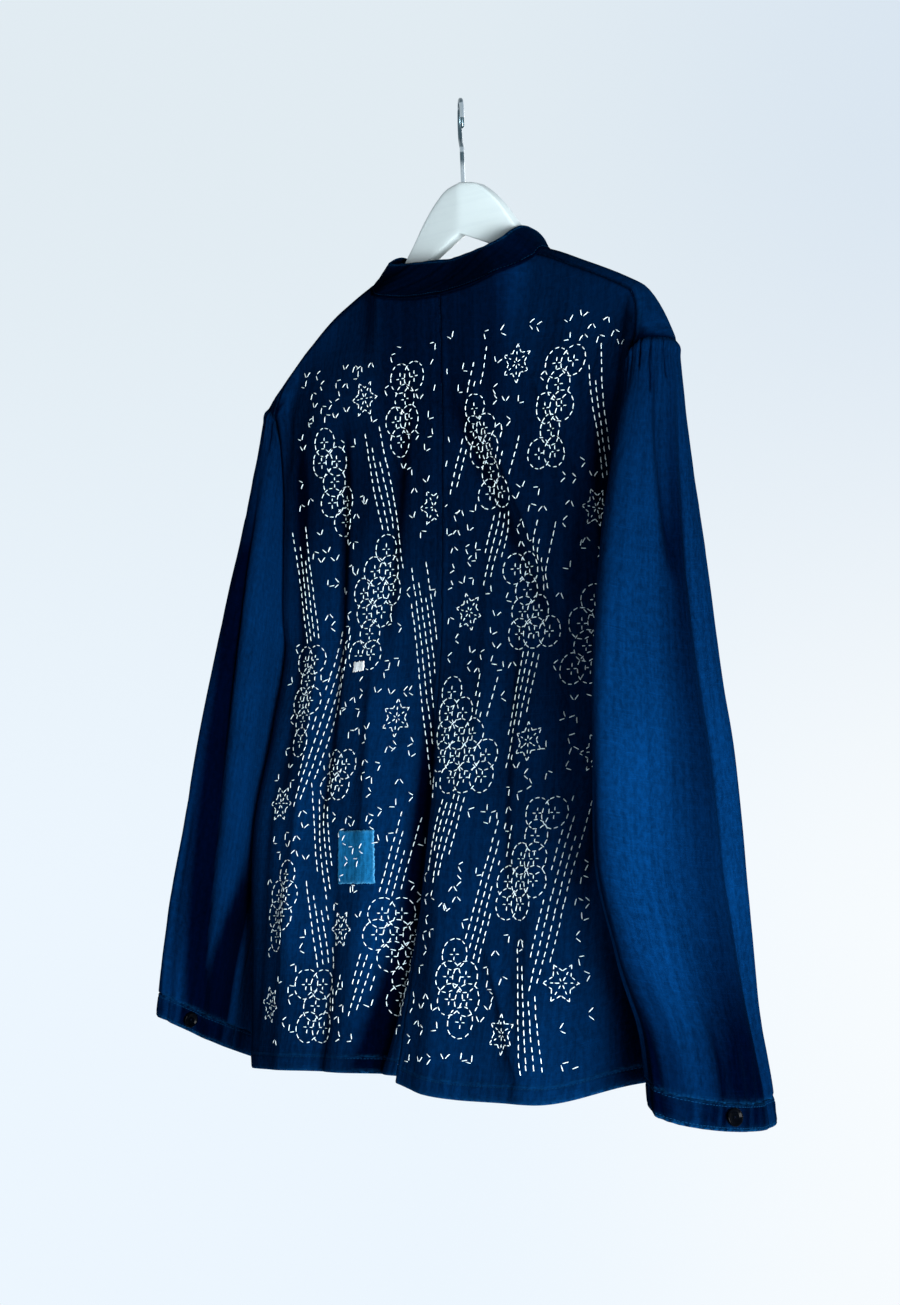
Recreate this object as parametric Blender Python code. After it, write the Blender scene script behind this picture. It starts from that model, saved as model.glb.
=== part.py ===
"""Indigo work jacket with a patched back, hanging on a contoured wooden hanger.

Metres, +Z up. The garment's front faces -Y and its centre plane is X = 0, so +X is the wearer's left.
The origin is where the hook rests on its rail. Every cloth piece is a thin wall whose outer face
follows one draped form: columns that run from the shoulder ridge down to the hem, and sleeve sections.
"""

import math
from collections import namedtuple

import bmesh
import bpy
from mathutils import Vector
from mathutils.bvhtree import BVHTree

# --- driving dimensions -------------------------------------------------------------------------
WALL = 0.0015
SEAM_GAP = 0.0003
SIDE_SEAM_GAP = 0.0014
ARMHOLE_GAP = 0.0019
CUFF_GAP = 0.0006
RIDGE_Y = -0.006
ROLL_RADIUS = 0.0165
SEAM_ROLL_ANGLE = 52.0
SEAM_ROLL_LEAST = 4.0
NECK_X = 0.104
NECK_NARROWING = 0.003
NECK_ROWS_DROP = 0.012
NECK_BACK_SHARE = 0.4
NECK_FRONT_SHARE = 0.6
NECK_FRONT_ANGLE = -70.0
FRONT_NECK_TURN = 1.0
COLLAR_GAP = 0.0010
COLLAR_LEAN = 0.002
COLLAR_BACK_OFFSET = 0.02
COLLAR_END_SHARE = 0.9
SHOULDER_END_X = 0.243
CAP_TURN = 112.0
CAP_START = 0.90
SETTLE = 0.10
NECK_SETTLE_WIDTH = 0.03
DRIFT_START_X = 0.02
DRIFT_END_X = 0.235
DRIFT_IN = 0.06
DRIFT_OUT = 0.09
DRIFT_LOW_Z = -0.30
DRIFT_TALL = 0.08
DRIFT_X = 0.015
DRIFT_RISE = 0.003
DRIFT_COLLAR_RISE = -0.003
DRIFT_COLLAR_Z = -0.158
DRIFT_COLLAR_TALL = 0.03
FRONT_HEM_Z = -0.874
FRONT_HEM_LEVEL = 0.6
HEM_STEP_X = 0.001
SIDE_SETTLE = 0.12
FOLD_EDGE_FADE = 4.0
UNDERARM_Z = -0.480
OVERLAP = 0.016
OVERLAP_LIFT = 0.0024
COLLAR_END_GAP = 0.0035
BUTTON_RADIUS = 0.0075
BUTTON_TOP_RADIUS = 0.0068
BUTTON_SIDES = 16
BUTTON_THICKNESS = 0.0028
BUTTON_CLEARANCE = 0.0016
CUFF_HEIGHT = 0.022
HANGER_THICKNESS = 0.012
HANGER_CHAMFER = 0.003
HANGER_CORNERS = 8
SHARP_ANGLE = 35.0
HANGER_BEND = 0.06
HANGER_BEND_END = 0.10
HOOK_WIRE = 0.002
HOOK_RADIUS = 0.0205
HOOK_TURN = 144.0
HOOK_TIP_ANGLE = -28.0
HOOK_ENTRY_ANGLE = 205.0
STEM_BEND_LENGTH = 0.018
STEM_BEND_STEPS = 8
PATCH_LIFT = 0.0009
PATCH_WALL = 0.001

# --- tables: a row for each section, fold or stop ---------------------------------------------------
Ridge = namedtuple("Ridge", "x z")
RIDGE = [
    Ridge(0.000, -0.128),
    Ridge(0.104, -0.150),
    Ridge(0.151, -0.168),
    Ridge(0.200, -0.189),
    Ridge(0.228, -0.204),
    Ridge(0.248, -0.223),
    Ridge(0.2655, -0.252),
]

# half_width: side seam; back, front, side: the plan's Y there; square: how blunt the plan's corners are
Ring = namedtuple("Ring", "z half_width back front side square")
BODY = [
    Ring(-0.150, 0.2385, 0.030, -0.060, 0.000, 2.6),
    Ring(-0.260, 0.2385, 0.027, -0.072, 0.006, 2.8),
    Ring(-0.360, 0.2385, 0.026, -0.070, 0.008, 3.2),
    Ring(-0.480, 0.2385, 0.027, -0.068, 0.006, 3.6),
    Ring(-0.560, 0.2470, 0.036, -0.072, 0.006, 4.8),
    Ring(-0.660, 0.2600, 0.051, -0.078, 0.010, 5.6),
    Ring(-0.760, 0.2625, 0.060, -0.084, 0.006, 4.2),
    Ring(-0.900, 0.2625, 0.083, -0.092, 0.000, 2.7),
]

HemStop = namedtuple("HemStop", "x z")
HEM = [
    HemStop(-0.262, -0.871),
    HemStop(-0.170, -0.893),
    HemStop(-0.098, -0.893),
    HemStop(-0.001, -0.882),
    HemStop(0.001, -0.876),
    HemStop(0.110, -0.877),
    HemStop(0.262, -0.881),
]

NeckStop = namedtuple("NeckStop", "x back_z front_z")
NECK = [
    NeckStop(0.000, -0.180, -0.222),
    NeckStop(0.035, -0.178, -0.216),
    NeckStop(0.070, -0.172, -0.200),
    NeckStop(0.092, -0.164, -0.180),
    NeckStop(0.104, -0.157, -0.163),
]

# collar's top edge by its turn from the centre back, in degrees
CollarStop = namedtuple("CollarStop", "turn x y z")
COLLAR_TOP = [
    CollarStop(0.0, 0.0000, 0.014, -0.1455),
    CollarStop(40.0, 0.0450, 0.016, -0.1415),
    CollarStop(72.0, 0.0720, 0.014, -0.1340),
    CollarStop(90.0, 0.0755, -0.006, -0.1245),
    CollarStop(108.0, 0.0710, -0.032, -0.1300),
    CollarStop(140.0, 0.0520, -0.058, -0.1480),
    CollarStop(180.0, 0.0030, -0.076, -0.1780),
]

# centre_x, centre_y: middle of the section; across and deep: its half sizes along X and Y
Section = namedtuple("Section", "z centre_x centre_y across deep")
SLEEVE_RIGHT = [
    Section(-0.252, 0.2495, 0.002, 0.0160, 0.0225),
    Section(-0.285, 0.2515, 0.009, 0.0190, 0.0280),
    Section(-0.345, 0.2545, 0.016, 0.0230, 0.0395),
    Section(-0.426, 0.2610, 0.023, 0.0265, 0.0540),
    Section(-0.530, 0.2735, 0.032, 0.0280, 0.0680),
    Section(-0.607, 0.2840, 0.035, 0.0290, 0.0770),
    Section(-0.690, 0.2915, 0.037, 0.0290, 0.0830),
    Section(-0.768, 0.2990, 0.028, 0.0300, 0.0760),
    Section(-0.832, 0.3145, 0.025, 0.0310, 0.0650),
    Section(-0.885, 0.3295, 0.030, 0.0290, 0.0670),
    Section(-0.908, 0.3330, 0.034, 0.0280, 0.0720),
]
SLEEVE_LEFT = [
    Section(-0.252, 0.2495, 0.002, 0.0160, 0.0225),
    Section(-0.285, 0.2515, 0.003, 0.0190, 0.0280),
    Section(-0.345, 0.2545, 0.003, 0.0230, 0.0395),
    Section(-0.426, 0.2610, 0.005, 0.0265, 0.0540),
    Section(-0.530, 0.2735, 0.007, 0.0280, 0.0680),
    Section(-0.622, 0.2860, 0.008, 0.0290, 0.0770),
    Section(-0.713, 0.2950, 0.016, 0.0290, 0.0820),
    Section(-0.802, 0.3160, 0.024, 0.0300, 0.0720),
    Section(-0.880, 0.3370, 0.024, 0.0290, 0.0680),
]

# how far round the sleeve (0 outer, 90 back, 180 inner) the armhole seam runs at each height
ArmholeStop = namedtuple("ArmholeStop", "turn z")
ARMHOLE = [
    ArmholeStop(0.0, -0.2520),
    ArmholeStop(60.0, -0.2530),
    ArmholeStop(105.0, -0.2600),
    ArmholeStop(135.0, -0.2830),
    ArmholeStop(152.0, -0.3280),
    ArmholeStop(161.0, -0.3980),
    ArmholeStop(169.0, -0.4480),
    ArmholeStop(180.0, -0.4800),
]

# back folds: x at the top and bottom end, their heights, half width, depth out (+) or in (-)
Fold = namedtuple("Fold", "top_x top_z low_x low_z half depth")
BACK_FOLDS = [
    Fold(0.010, -0.560, 0.012, -0.930, 0.026, -0.013),
    Fold(-0.045, -0.600, -0.060, -0.930, 0.042, 0.007),
    Fold(0.085, -0.500, 0.075, -0.700, 0.026, 0.005),
    Fold(0.130, -0.330, 0.138, -0.640, 0.022, -0.006),
    Fold(-0.030, -0.280, -0.150, -0.460, 0.020, -0.006),
    Fold(-0.205, -0.260, -0.215, -0.640, 0.026, -0.007),
    Fold(0.200, -0.260, 0.205, -0.560, 0.026, -0.005),
    Fold(-0.150, -0.650, -0.160, -0.900, 0.040, 0.007),
    Fold(0.170, -0.700, 0.160, -0.930, 0.045, 0.006),
]
FRONT_FOLDS = [
    Fold(0.110, -0.300, 0.100, -0.930, 0.035, -0.006),
    Fold(-0.120, -0.340, -0.105, -0.930, 0.038, -0.007),
    Fold(0.180, -0.420, 0.190, -0.930, 0.030, 0.005),
    Fold(-0.185, -0.400, -0.180, -0.930, 0.030, 0.005),
]

# sleeve folds: turn round the sleeve at the top and bottom end, heights, half width in degrees, depth
Lobe = namedtuple("Lobe", "top_turn top_z low_turn low_z half depth")
LOBES_RIGHT = [
    Lobe(22.0, -0.285, -12.0, -0.870, 20.0, -0.008),
    Lobe(60.0, -0.330, 62.0, -0.820, 34.0, 0.004),
    Lobe(-90.0, -0.340, -84.0, -0.860, 26.0, -0.006),
]
LOBES_LEFT = [
    Lobe(112.0, -0.330, 142.0, -0.860, 22.0, -0.009),
    Lobe(78.0, -0.300, 76.0, -0.820, 26.0, 0.003),
    Lobe(20.0, -0.300, 26.0, -0.820, 22.0, -0.006),
]

# cuff rim: the turn where it is lowest or highest, its height there and on the far side of the cuff
CuffRim = namedtuple("CuffRim", "turn height beyond")
CUFF_RIM = {"right": CuffRim(-25.0, -0.907, -0.884), "left": CuffRim(65.0, -0.833, -0.880)}

HangerStop = namedtuple("HangerStop", "x top low")
HANGER = [
    HangerStop(0.000, -0.0740, -0.1250),
    HangerStop(0.018, -0.0770, -0.1285),
    HangerStop(0.034, -0.0865, -0.1345),
    HangerStop(0.050, -0.1010, -0.1420),
    HangerStop(0.067, -0.1210, -0.1510),
    HangerStop(0.085, -0.1400, -0.1620),
    HangerStop(0.104, -0.1560, -0.1760),
    HangerStop(0.151, -0.1745, -0.1980),
    HangerStop(0.200, -0.1950, -0.2170),
    HangerStop(0.216, -0.2050, -0.2210),
]

Patch = namedtuple("Patch", "x_low x_high z_low z_high")
PATCH_BLUE = Patch(0.057, 0.109, -0.709, -0.661)
PATCH_WHITE = Patch(0.102, 0.118, -0.5145, -0.5055)
FRONT_BUTTON_HEIGHTS = [-0.246, -0.364, -0.482, -0.600, -0.718]
CUFF_BUTTON_TURN = {"right": 3.0, "left": 132.0}

# --- grid counts --------------------------------------------------------------------------------------
BACK_NECK_COLUMNS = 6
SHOULDER_COLUMNS = 9
SIDE_CROWDING = 1.6
EDGE_COLUMN = 0.999
COUNT_MARGIN = 0.001
BACK_ROWS = 20
BACK_ROLL_SHARE = 2.0 / BACK_ROWS
SEAM_CROWDING = 4.0
FRONT_SEAM_CROWDING = 1.7
FRONT_NECK_COLUMNS = 9
ROLL_ROWS = 5
FRONT_ROWS = 14
SLEEVE_COLUMNS = 24
SLEEVE_ROWS = 14
COLLAR_COLUMNS = 30
COLLAR_ROWS = 3
CUFF_ROWS = 1
PATCH_CELLS = 5
HOOK_STEPS = 40

Finish = namedtuple("Finish", "colour roughness metallic")
INDIGO = Finish((0.006, 0.040, 0.110, 1.0), 0.9, 0.0)
LIGHT_BLUE = Finish((0.010, 0.120, 0.330, 1.0), 0.9, 0.0)
WHITE_COTTON = Finish((0.820, 0.860, 0.880, 1.0), 0.9, 0.0)
WHITE_LACQUER = Finish((0.720, 0.790, 0.800, 1.0), 0.4, 0.0)
CHROME = Finish((0.750, 0.770, 0.780, 1.0), 0.15, 1.0)
BLACK_PLASTIC = Finish((0.010, 0.010, 0.012, 1.0), 0.3, 0.0)


# --- curves through tables ------------------------------------------------------------------------------
def read(table, key, value, column):
    """Smooth value of a column where another column, rising or falling, has the value given."""
    keys = [getattr(row, key) for row in table]
    data = [getattr(row, column) for row in table]
    if keys[0] > keys[-1]:
        keys.reverse()
        data.reverse()
    if value <= keys[0]:
        return data[0]
    if value >= keys[-1]:
        return data[-1]
    slopes = [(data[i + 1] - data[i]) / (keys[i + 1] - keys[i]) for i in range(len(keys) - 1)]
    bends = [slopes[0]]
    for before, after in zip(slopes, slopes[1:]):
        bends.append(0.0 if before * after <= 0.0 else 2.0 * before * after / (before + after))
    bends.append(slopes[-1])
    i = max(j for j in range(len(keys) - 1) if keys[j] <= value)
    span = keys[i + 1] - keys[i]
    t = (value - keys[i]) / span
    rise = data[i + 1] - data[i]
    start = span * bends[i]
    end = span * bends[i + 1]
    return data[i] + start * t + (3 * rise - 2 * start - end) * t**2 + (start + end - 2 * rise) * t**3


def smooth(t):
    """0 to 1 with level ends."""
    t = min(max(t, 0.0), 1.0)
    return t * t * (3.0 - 2.0 * t)


def mix(a, b, t):
    """Value between a and b."""
    return a + (b - a) * t


def crease(fold_top, fold_low, z, across, half):
    """Height (0 to 1) of a soft fold at a place across it, fading in and out along its run."""
    run = (fold_top.z - z) / (fold_top.z - fold_low.z)
    if run <= 0.0 or run >= 1.0:
        return 0.0
    middle = mix(fold_top.across, fold_low.across, run)
    fade = smooth(run / 0.25) * (1.0 - smooth((run - 0.85) / 0.15) * 0.4)
    return fade * math.exp(-(((across - middle) / (0.55 * half)) ** 2))


End = namedtuple("End", "across z")
NeckPlace = namedtuple("NeckPlace", "lateral face z angle")


# --- sleeve form ---------------------------------------------------------------------------------------------
def sleeve_table(side):
    """Section table of one sleeve."""
    return SLEEVE_RIGHT if side == "right" else SLEEVE_LEFT


def sleeve_point(side, turn, z):
    """Point of a sleeve's outer face; turn in degrees, 0 outer, 90 back, 180 inner."""
    table = sleeve_table(side)
    angle = math.radians(turn)
    across = read(table, "z", z, "across")
    deep = read(table, "z", z, "deep")
    push = 0.0
    for lobe in LOBES_RIGHT if side == "right" else LOBES_LEFT:
        apart = (turn - lobe.top_turn + 180.0) % 360.0 - 180.0 + lobe.top_turn
        top = End(lobe.top_turn, lobe.top_z)
        low = End(lobe.low_turn, lobe.low_z)
        push += lobe.depth * crease(top, low, z, apart, lobe.half)
    x = read(table, "z", z, "centre_x") + (across + push) * math.cos(angle)
    y = read(table, "z", z, "centre_y") + (deep + push) * math.sin(angle)
    return Vector((x if side == "left" else -x, y, z))


def armhole_z(turn):
    """Height of the armhole seam round the sleeve."""
    return read(ARMHOLE, "turn", abs((turn + 180.0) % 360.0 - 180.0), "z")


def armhole_turn(z):
    """Turn of the armhole seam at a height."""
    return read(ARMHOLE, "z", z, "turn")


# --- body form ------------------------------------------------------------------------------------------------
def edge_of_panel(side, face, z):
    """X and Y of a panel's outer edge: the armhole above the underarm, the side seam below it."""
    if z <= UNDERARM_Z:
        under_sleeve = sleeve_point(side, 180.0, UNDERARM_Z).y
        settled = smooth((UNDERARM_Z - z) / SIDE_SETTLE)
        return read(BODY, "z", z, "half_width"), mix(under_sleeve, read(BODY, "z", z, "side"), settled)
    z = min(z, armhole_z(CAP_TURN))
    turn = armhole_turn(z)
    point = sleeve_point(side, turn if face == "back" else -turn, z)
    return abs(point.x) - ARMHOLE_GAP, point.y


def fold_depth(folds, x, z):
    """Sum of the folds of a panel at a place."""
    total = 0.0
    for fold in folds:
        top = End(fold.top_x, fold.top_z)
        low = End(fold.low_x, fold.low_z)
        total += fold.depth * crease(top, low, z, x, fold.half)
    return total


def cap_point(side, angle):
    """Point of the body's edge over the top of the sleeve; angle as on the shoulder roll."""
    turn = angle * CAP_TURN / 90.0
    point = sleeve_point(side, turn, armhole_z(turn))
    lean = math.radians(min(abs(angle), 90.0))
    inward = -1.0 if side == "left" else 1.0
    return point + Vector((inward * math.sin(lean), 0.0, math.cos(lean))) * ARMHOLE_GAP


def roll_point(side, lateral, angle):
    """Point of the shoulder roll; angle 90 at the back, 0 on the ridge, -90 at the front."""
    turn = math.radians(angle)
    x = SHOULDER_END_X * lateral
    top = read(RIDGE, "x", x, "z")
    y = RIDGE_Y + ROLL_RADIUS * math.sin(turn)
    z = top - ROLL_RADIUS * (1.0 - math.cos(turn))
    over_arm = Vector((x if side == "left" else -x, y, z))
    end = smooth((lateral - CAP_START) / (1.0 - CAP_START))
    return over_arm.lerp(cap_point(side, angle), end)


def hang_point(side, face, lateral, z):
    """Point of the body below the shoulder roll."""
    start = roll_point(side, lateral, 90.0 if face == "back" else -90.0)
    edge_x, edge_y = edge_of_panel(side, face, z)
    square = read(BODY, "z", z, "square")
    bulge = (1.0 - min(lateral, 1.0) ** square) ** (1.0 / square)
    x = lateral * edge_x
    y = mix(edge_y, read(BODY, "z", z, face), bulge)
    signed = x if side == "left" else -x
    outward = 1.0 if face == "back" else -1.0
    folds = BACK_FOLDS if face == "back" else FRONT_FOLDS
    y += outward * fold_depth(folds, signed, z) * min(1.0, FOLD_EDGE_FADE * (1.0 - lateral))
    beyond = lateral * SHOULDER_END_X - (NECK_X - NECK_SETTLE_WIDTH)
    if beyond >= 0.0:
        settle = mix(1.0, smooth((start.z - z) / SETTLE), smooth(beyond / NECK_SETTLE_WIDTH))
        y = mix(start.y, y, settle)
    return Vector((signed, y, z))


def hem_z(side, face, lateral):
    """Height of the hem; the front's is level with the side seams."""
    sign = 1.0 if side == "left" else -1.0
    edge = BODY[-1].half_width
    if face == "front":
        level = smooth((lateral - FRONT_HEM_LEVEL) / (1.0 - FRONT_HEM_LEVEL))
        return mix(FRONT_HEM_Z, read(HEM, "x", sign * edge, "z"), level)
    return read(HEM, "x", sign * max(lateral * edge, HEM_STEP_X), "z")


def seam_angle(lateral):
    """Where the shoulder seam crosses the roll of a column, in degrees behind the ridge."""
    share = smooth((lateral - CAP_START) / (1.0 - CAP_START))
    return mix(SEAM_ROLL_ANGLE, 90.0, share)


def lateral_of(x):
    """Column of a place across the shoulder."""
    return x / SHOULDER_END_X


# --- mesh helpers ---------------------------------------------------------------------------------------------
def off_centre(place):
    """Move a place with the neck, which sits off centre towards the left shoulder."""
    beside = smooth((place.x - DRIFT_START_X) / DRIFT_IN) * smooth((DRIFT_END_X - place.x) / DRIFT_OUT)
    share = beside * smooth((place.z - DRIFT_LOW_Z) / DRIFT_TALL)
    rise = mix(DRIFT_RISE, DRIFT_COLLAR_RISE, smooth((place.z - DRIFT_COLLAR_Z) / DRIFT_COLLAR_TALL))
    return place + Vector((DRIFT_X, 0.0, rise)) * share


def grid_mesh(name, columns, rows, place, wrap=False):
    """Sheet of columns x rows cells; place takes two shares, 0 to 1, across and down."""
    bm = bmesh.new()
    bmesh.ops.create_grid(bm, x_segments=columns, y_segments=rows, size=0.5)
    for vert in bm.verts:
        across = min(max(vert.co.x + 0.5, 0.0), 1.0)
        down = min(max(0.5 - vert.co.y, 0.0), 1.0)
        vert.co = off_centre(place(across, down))
    if wrap:
        bmesh.ops.remove_doubles(bm, verts=bm.verts, dist=0.00001)
    bmesh.ops.triangulate(bm, faces=bm.faces)
    bm.normal_update()
    mesh = bpy.data.meshes.new(name)
    bm.to_mesh(mesh)
    bm.free()
    return mesh


def face_outward(mesh, away):
    """Turn a sheet's faces so that they look along the direction that away gives for a place."""
    bm = bmesh.new()
    bm.from_mesh(mesh)
    bm.normal_update()
    agree = sum(face.normal.dot(away(face.calc_center_median())) for face in bm.faces)
    if agree < 0.0:
        bmesh.ops.reverse_faces(bm, faces=bm.faces)
    bm.to_mesh(mesh)
    bm.free()


def material(name, finish):
    """Principled material of a finish."""
    made = bpy.data.materials.new(name)
    made.use_nodes = True
    shader = made.node_tree.nodes["Principled BSDF"]
    shader.inputs["Base Color"].default_value = finish.colour
    shader.inputs["Roughness"].default_value = finish.roughness
    shader.inputs["Metallic"].default_value = finish.metallic
    return made


def put(name, mesh, finish, wall=None):
    """Object of a mesh, with a wall of its own thickness inside its outer face."""
    mesh.materials.append(material(name, finish))
    piece = bpy.data.objects.new(name, mesh)
    bpy.context.collection.objects.link(piece)
    mesh.shade_smooth()
    if wall:
        solid = piece.modifiers.new("wall", "SOLIDIFY")
        solid.thickness = wall
        solid.offset = -1.0
        solid.use_rim = True
    return piece


# --- cloth pieces -------------------------------------------------------------------------------------------------
def neck_stop(share):
    """Column, face and height or roll angle of the neckline: 0 centre back, 1 centre front."""
    neck = lateral_of(NECK_X)
    if share < NECK_BACK_SHARE - COUNT_MARGIN:
        lateral = neck * math.sin(share / NECK_BACK_SHARE * math.pi / 2)
        return NeckPlace(lateral, "back", read(NECK, "x", lateral * SHOULDER_END_X, "back_z"), None)
    inner = lateral_of(NECK_X - NECK_NARROWING)
    if share < NECK_FRONT_SHARE + COUNT_MARGIN:
        run = (share - NECK_BACK_SHARE) / (NECK_FRONT_SHARE - NECK_BACK_SHARE)
        angle = mix(SEAM_ROLL_ANGLE, NECK_FRONT_ANGLE, run)
        return NeckPlace(mix(neck, inner, run), "front", None, angle)
    run = (share - NECK_FRONT_SHARE) / (1.0 - NECK_FRONT_SHARE)
    lateral = inner * math.cos(run * math.pi / 2)
    return NeckPlace(lateral, "front", read(NECK, "x", lateral * SHOULDER_END_X, "front_z"), None)


def neck_place(side, share):
    """Point of the neckline on one side."""
    stop = neck_stop(share)
    if stop.angle is not None:
        return roll_point(side, stop.lateral, stop.angle)
    return hang_point(side, stop.face, stop.lateral, stop.z)


def shoulder_lateral(share):
    """Column between the neck and the shoulder end, closer together towards the side."""
    return mix(lateral_of(NECK_X), 1.0, 1.0 - (1.0 - math.sin(share * math.pi / 2)) ** SIDE_CROWDING)


def build_back(side):
    """Half of the back, from its centre seam to the armhole and the side seam."""
    neck_share = BACK_NECK_COLUMNS / (BACK_NECK_COLUMNS + SHOULDER_COLUMNS)

    def place(across, down):
        if across < neck_share - COUNT_MARGIN:
            stop = neck_stop(across / neck_share * NECK_BACK_SHARE)
            point = hang_point(side, "back", stop.lateral, fall(side, "back", stop, down, BACK_ROLL_SHARE))
            point.x = max(point.x, SEAM_GAP / 2) if side == "left" else min(point.x, -SEAM_GAP / 2)
            return point
        lateral = shoulder_lateral((across - neck_share) / (1.0 - neck_share))
        low = hem_z(side, "back", lateral)
        start = seam_angle(lateral) + math.degrees(SEAM_GAP / ROLL_RADIUS)
        end = max(start + SEAM_ROLL_LEAST, 90.0)
        if down < BACK_ROLL_SHARE - COUNT_MARGIN:
            return roll_point(side, lateral, mix(start, end, (down / BACK_ROLL_SHARE) ** SEAM_CROWDING))
        top = roll_point(side, lateral, end).z
        share = (down - BACK_ROLL_SHARE) / (1.0 - BACK_ROLL_SHARE)
        point = hang_point(side, "back", lateral, mix(top, low, share))
        if lateral > EDGE_COLUMN:
            point.y += SEAM_GAP
        return point

    mesh = grid_mesh("back_" + side, BACK_NECK_COLUMNS + SHOULDER_COLUMNS, BACK_ROWS, place)
    face_outward(mesh, lambda centre: Vector((0.0, 1.0, 0.0)))
    return put("back_" + side, mesh, INDIGO, WALL)


def fall(side, face, stop, down, roll_share):
    """Height down a column that starts at the neckline; its first rows stay beside the roll's rows."""
    start = stop.z - SEAM_GAP
    level = start - NECK_ROWS_DROP
    if down < roll_share:
        return mix(start, level, down / roll_share)
    low = hem_z(side, face, stop.lateral)
    return mix(level, low, (down - roll_share) / (1.0 - roll_share))


def front_neck_column(side, stop, down):
    """Point of a front column that starts at the neckline."""
    roll_share = ROLL_ROWS / (ROLL_ROWS + FRONT_ROWS)
    if stop.angle is None:
        return hang_point(side, "front", stop.lateral, fall(side, "front", stop, down, roll_share))
    low = hem_z(side, "front", stop.lateral)
    if down < roll_share - COUNT_MARGIN:
        point = roll_point(side, stop.lateral, mix(stop.angle - FRONT_NECK_TURN, -90.0, down / roll_share))
    else:
        top = roll_point(side, stop.lateral, -90.0).z
        share = (down - roll_share) / (1.0 - roll_share)
        point = hang_point(side, "front", stop.lateral, mix(top, low, share))
    fade = SEAM_GAP * max(0.0, 1.0 - down / roll_share)
    point.x += fade if side == "left" else -fade
    return point


def build_front(side):
    """Half of the front, from the set-back shoulder seam over the ridge and down to the hem."""
    columns = 1 + FRONT_NECK_COLUMNS + SHOULDER_COLUMNS
    neck_share = (1 + FRONT_NECK_COLUMNS) / columns
    roll_share = ROLL_ROWS / (ROLL_ROWS + FRONT_ROWS)

    def place(across, down):
        if across < neck_share - COUNT_MARGIN:
            column = across * columns
            if column < 0.5:
                stop = neck_stop(1.0)
                point = front_neck_column(side, stop, down)
                point.x = -OVERLAP if side == "left" else OVERLAP
            else:
                back_run = (1.0 - NECK_BACK_SHARE) * (column - 1.0) / FRONT_NECK_COLUMNS
                point = front_neck_column(side, neck_stop(1.0 - back_run), down)
            lift = OVERLAP_LIFT / 2 * smooth((OVERLAP * 2.0 - abs(point.x)) / OVERLAP)
            point.y += -lift if side == "left" else lift
            return point
        lateral = shoulder_lateral((across - neck_share) / (1.0 - neck_share))
        low = hem_z(side, "front", lateral)
        start = seam_angle(lateral) - math.degrees(SEAM_GAP / ROLL_RADIUS)
        if down < roll_share - COUNT_MARGIN:
            return roll_point(side, lateral, mix(start, -90.0, (down / roll_share) ** FRONT_SEAM_CROWDING))
        share = (down - roll_share) / (1.0 - roll_share)
        top = roll_point(side, lateral, -90.0).z
        point = hang_point(side, "front", lateral, mix(top, low, share))
        if lateral > EDGE_COLUMN:
            lower = smooth((armhole_z(CAP_TURN) - point.z) / SETTLE)
            point.y -= mix(SEAM_GAP, SIDE_SEAM_GAP, lower)
        return point

    mesh = grid_mesh("front_" + side, columns, ROLL_ROWS + FRONT_ROWS, place)
    face_outward(mesh, lambda centre: Vector((0.0, -1.0, 0.0)))
    return put("front_" + side, mesh, INDIGO, WALL)


def collar_point(across, up):
    """Point of the collar's outer face; across 0 to 1 from its left end round the back."""
    side = "left" if across < 0.5 else "right"
    share = abs(across - 0.5) * 2.0
    base = neck_place(side, share)
    turn = share * 180.0
    x = read(COLLAR_TOP, "turn", turn, "x")
    y = read(COLLAR_TOP, "turn", turn, "y")
    z = read(COLLAR_TOP, "turn", turn, "z")
    top = Vector((x if side == "left" else -x, y, z))
    base = base + (top - base).normalized() * COLLAR_GAP
    point = base.lerp(top, up)
    inward = Vector((-point.x, -COLLAR_BACK_OFFSET - point.y, 0.0)).normalized()
    point += inward * math.sin(up * math.pi) * COLLAR_LEAN
    if share > COLLAR_END_SHARE:
        keep = COLLAR_END_GAP
        point.x = max(point.x, keep) if side == "left" else min(point.x, -keep)
    return point


def build_collar():
    """Stand collar: a band from one centre-front end round the back to the other."""
    mesh = grid_mesh("collar", COLLAR_COLUMNS, COLLAR_ROWS, lambda a, d: collar_point(a, 1.0 - d))
    face_outward(mesh, lambda centre: Vector((centre.x, centre.y + COLLAR_BACK_OFFSET, 0.0)))
    return put("collar", mesh, INDIGO, WALL)


def cuff_rim_z(side, turn):
    """Height of the cuff's lower rim round the sleeve."""
    rim = CUFF_RIM[side]
    return mix(rim.beyond, rim.height, 0.5 + 0.5 * math.cos(math.radians(turn - rim.turn)))


def from_sleeve_middle(side, place):
    """Level direction from the middle of a sleeve's section to a place."""
    middle = read(sleeve_table(side), "z", place.z, "centre_x")
    depth = read(sleeve_table(side), "z", place.z, "centre_y")
    return Vector((place.x - (middle if side == "left" else -middle), place.y - depth, 0.0))


def build_sleeve(side):
    """Sleeve from the armhole seam to the cuff seam, a tube with its seam on the inner side."""

    def place(across, down):
        turn = mix(-180.0, 180.0, across)
        low = cuff_rim_z(side, turn) + CUFF_HEIGHT + CUFF_GAP
        return sleeve_point(side, turn, mix(armhole_z(turn), low, down))

    mesh = grid_mesh("sleeve_" + side, SLEEVE_COLUMNS, SLEEVE_ROWS, place, wrap=True)
    face_outward(mesh, lambda centre: from_sleeve_middle(side, centre))
    return put("sleeve_" + side, mesh, INDIGO, WALL)


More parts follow.
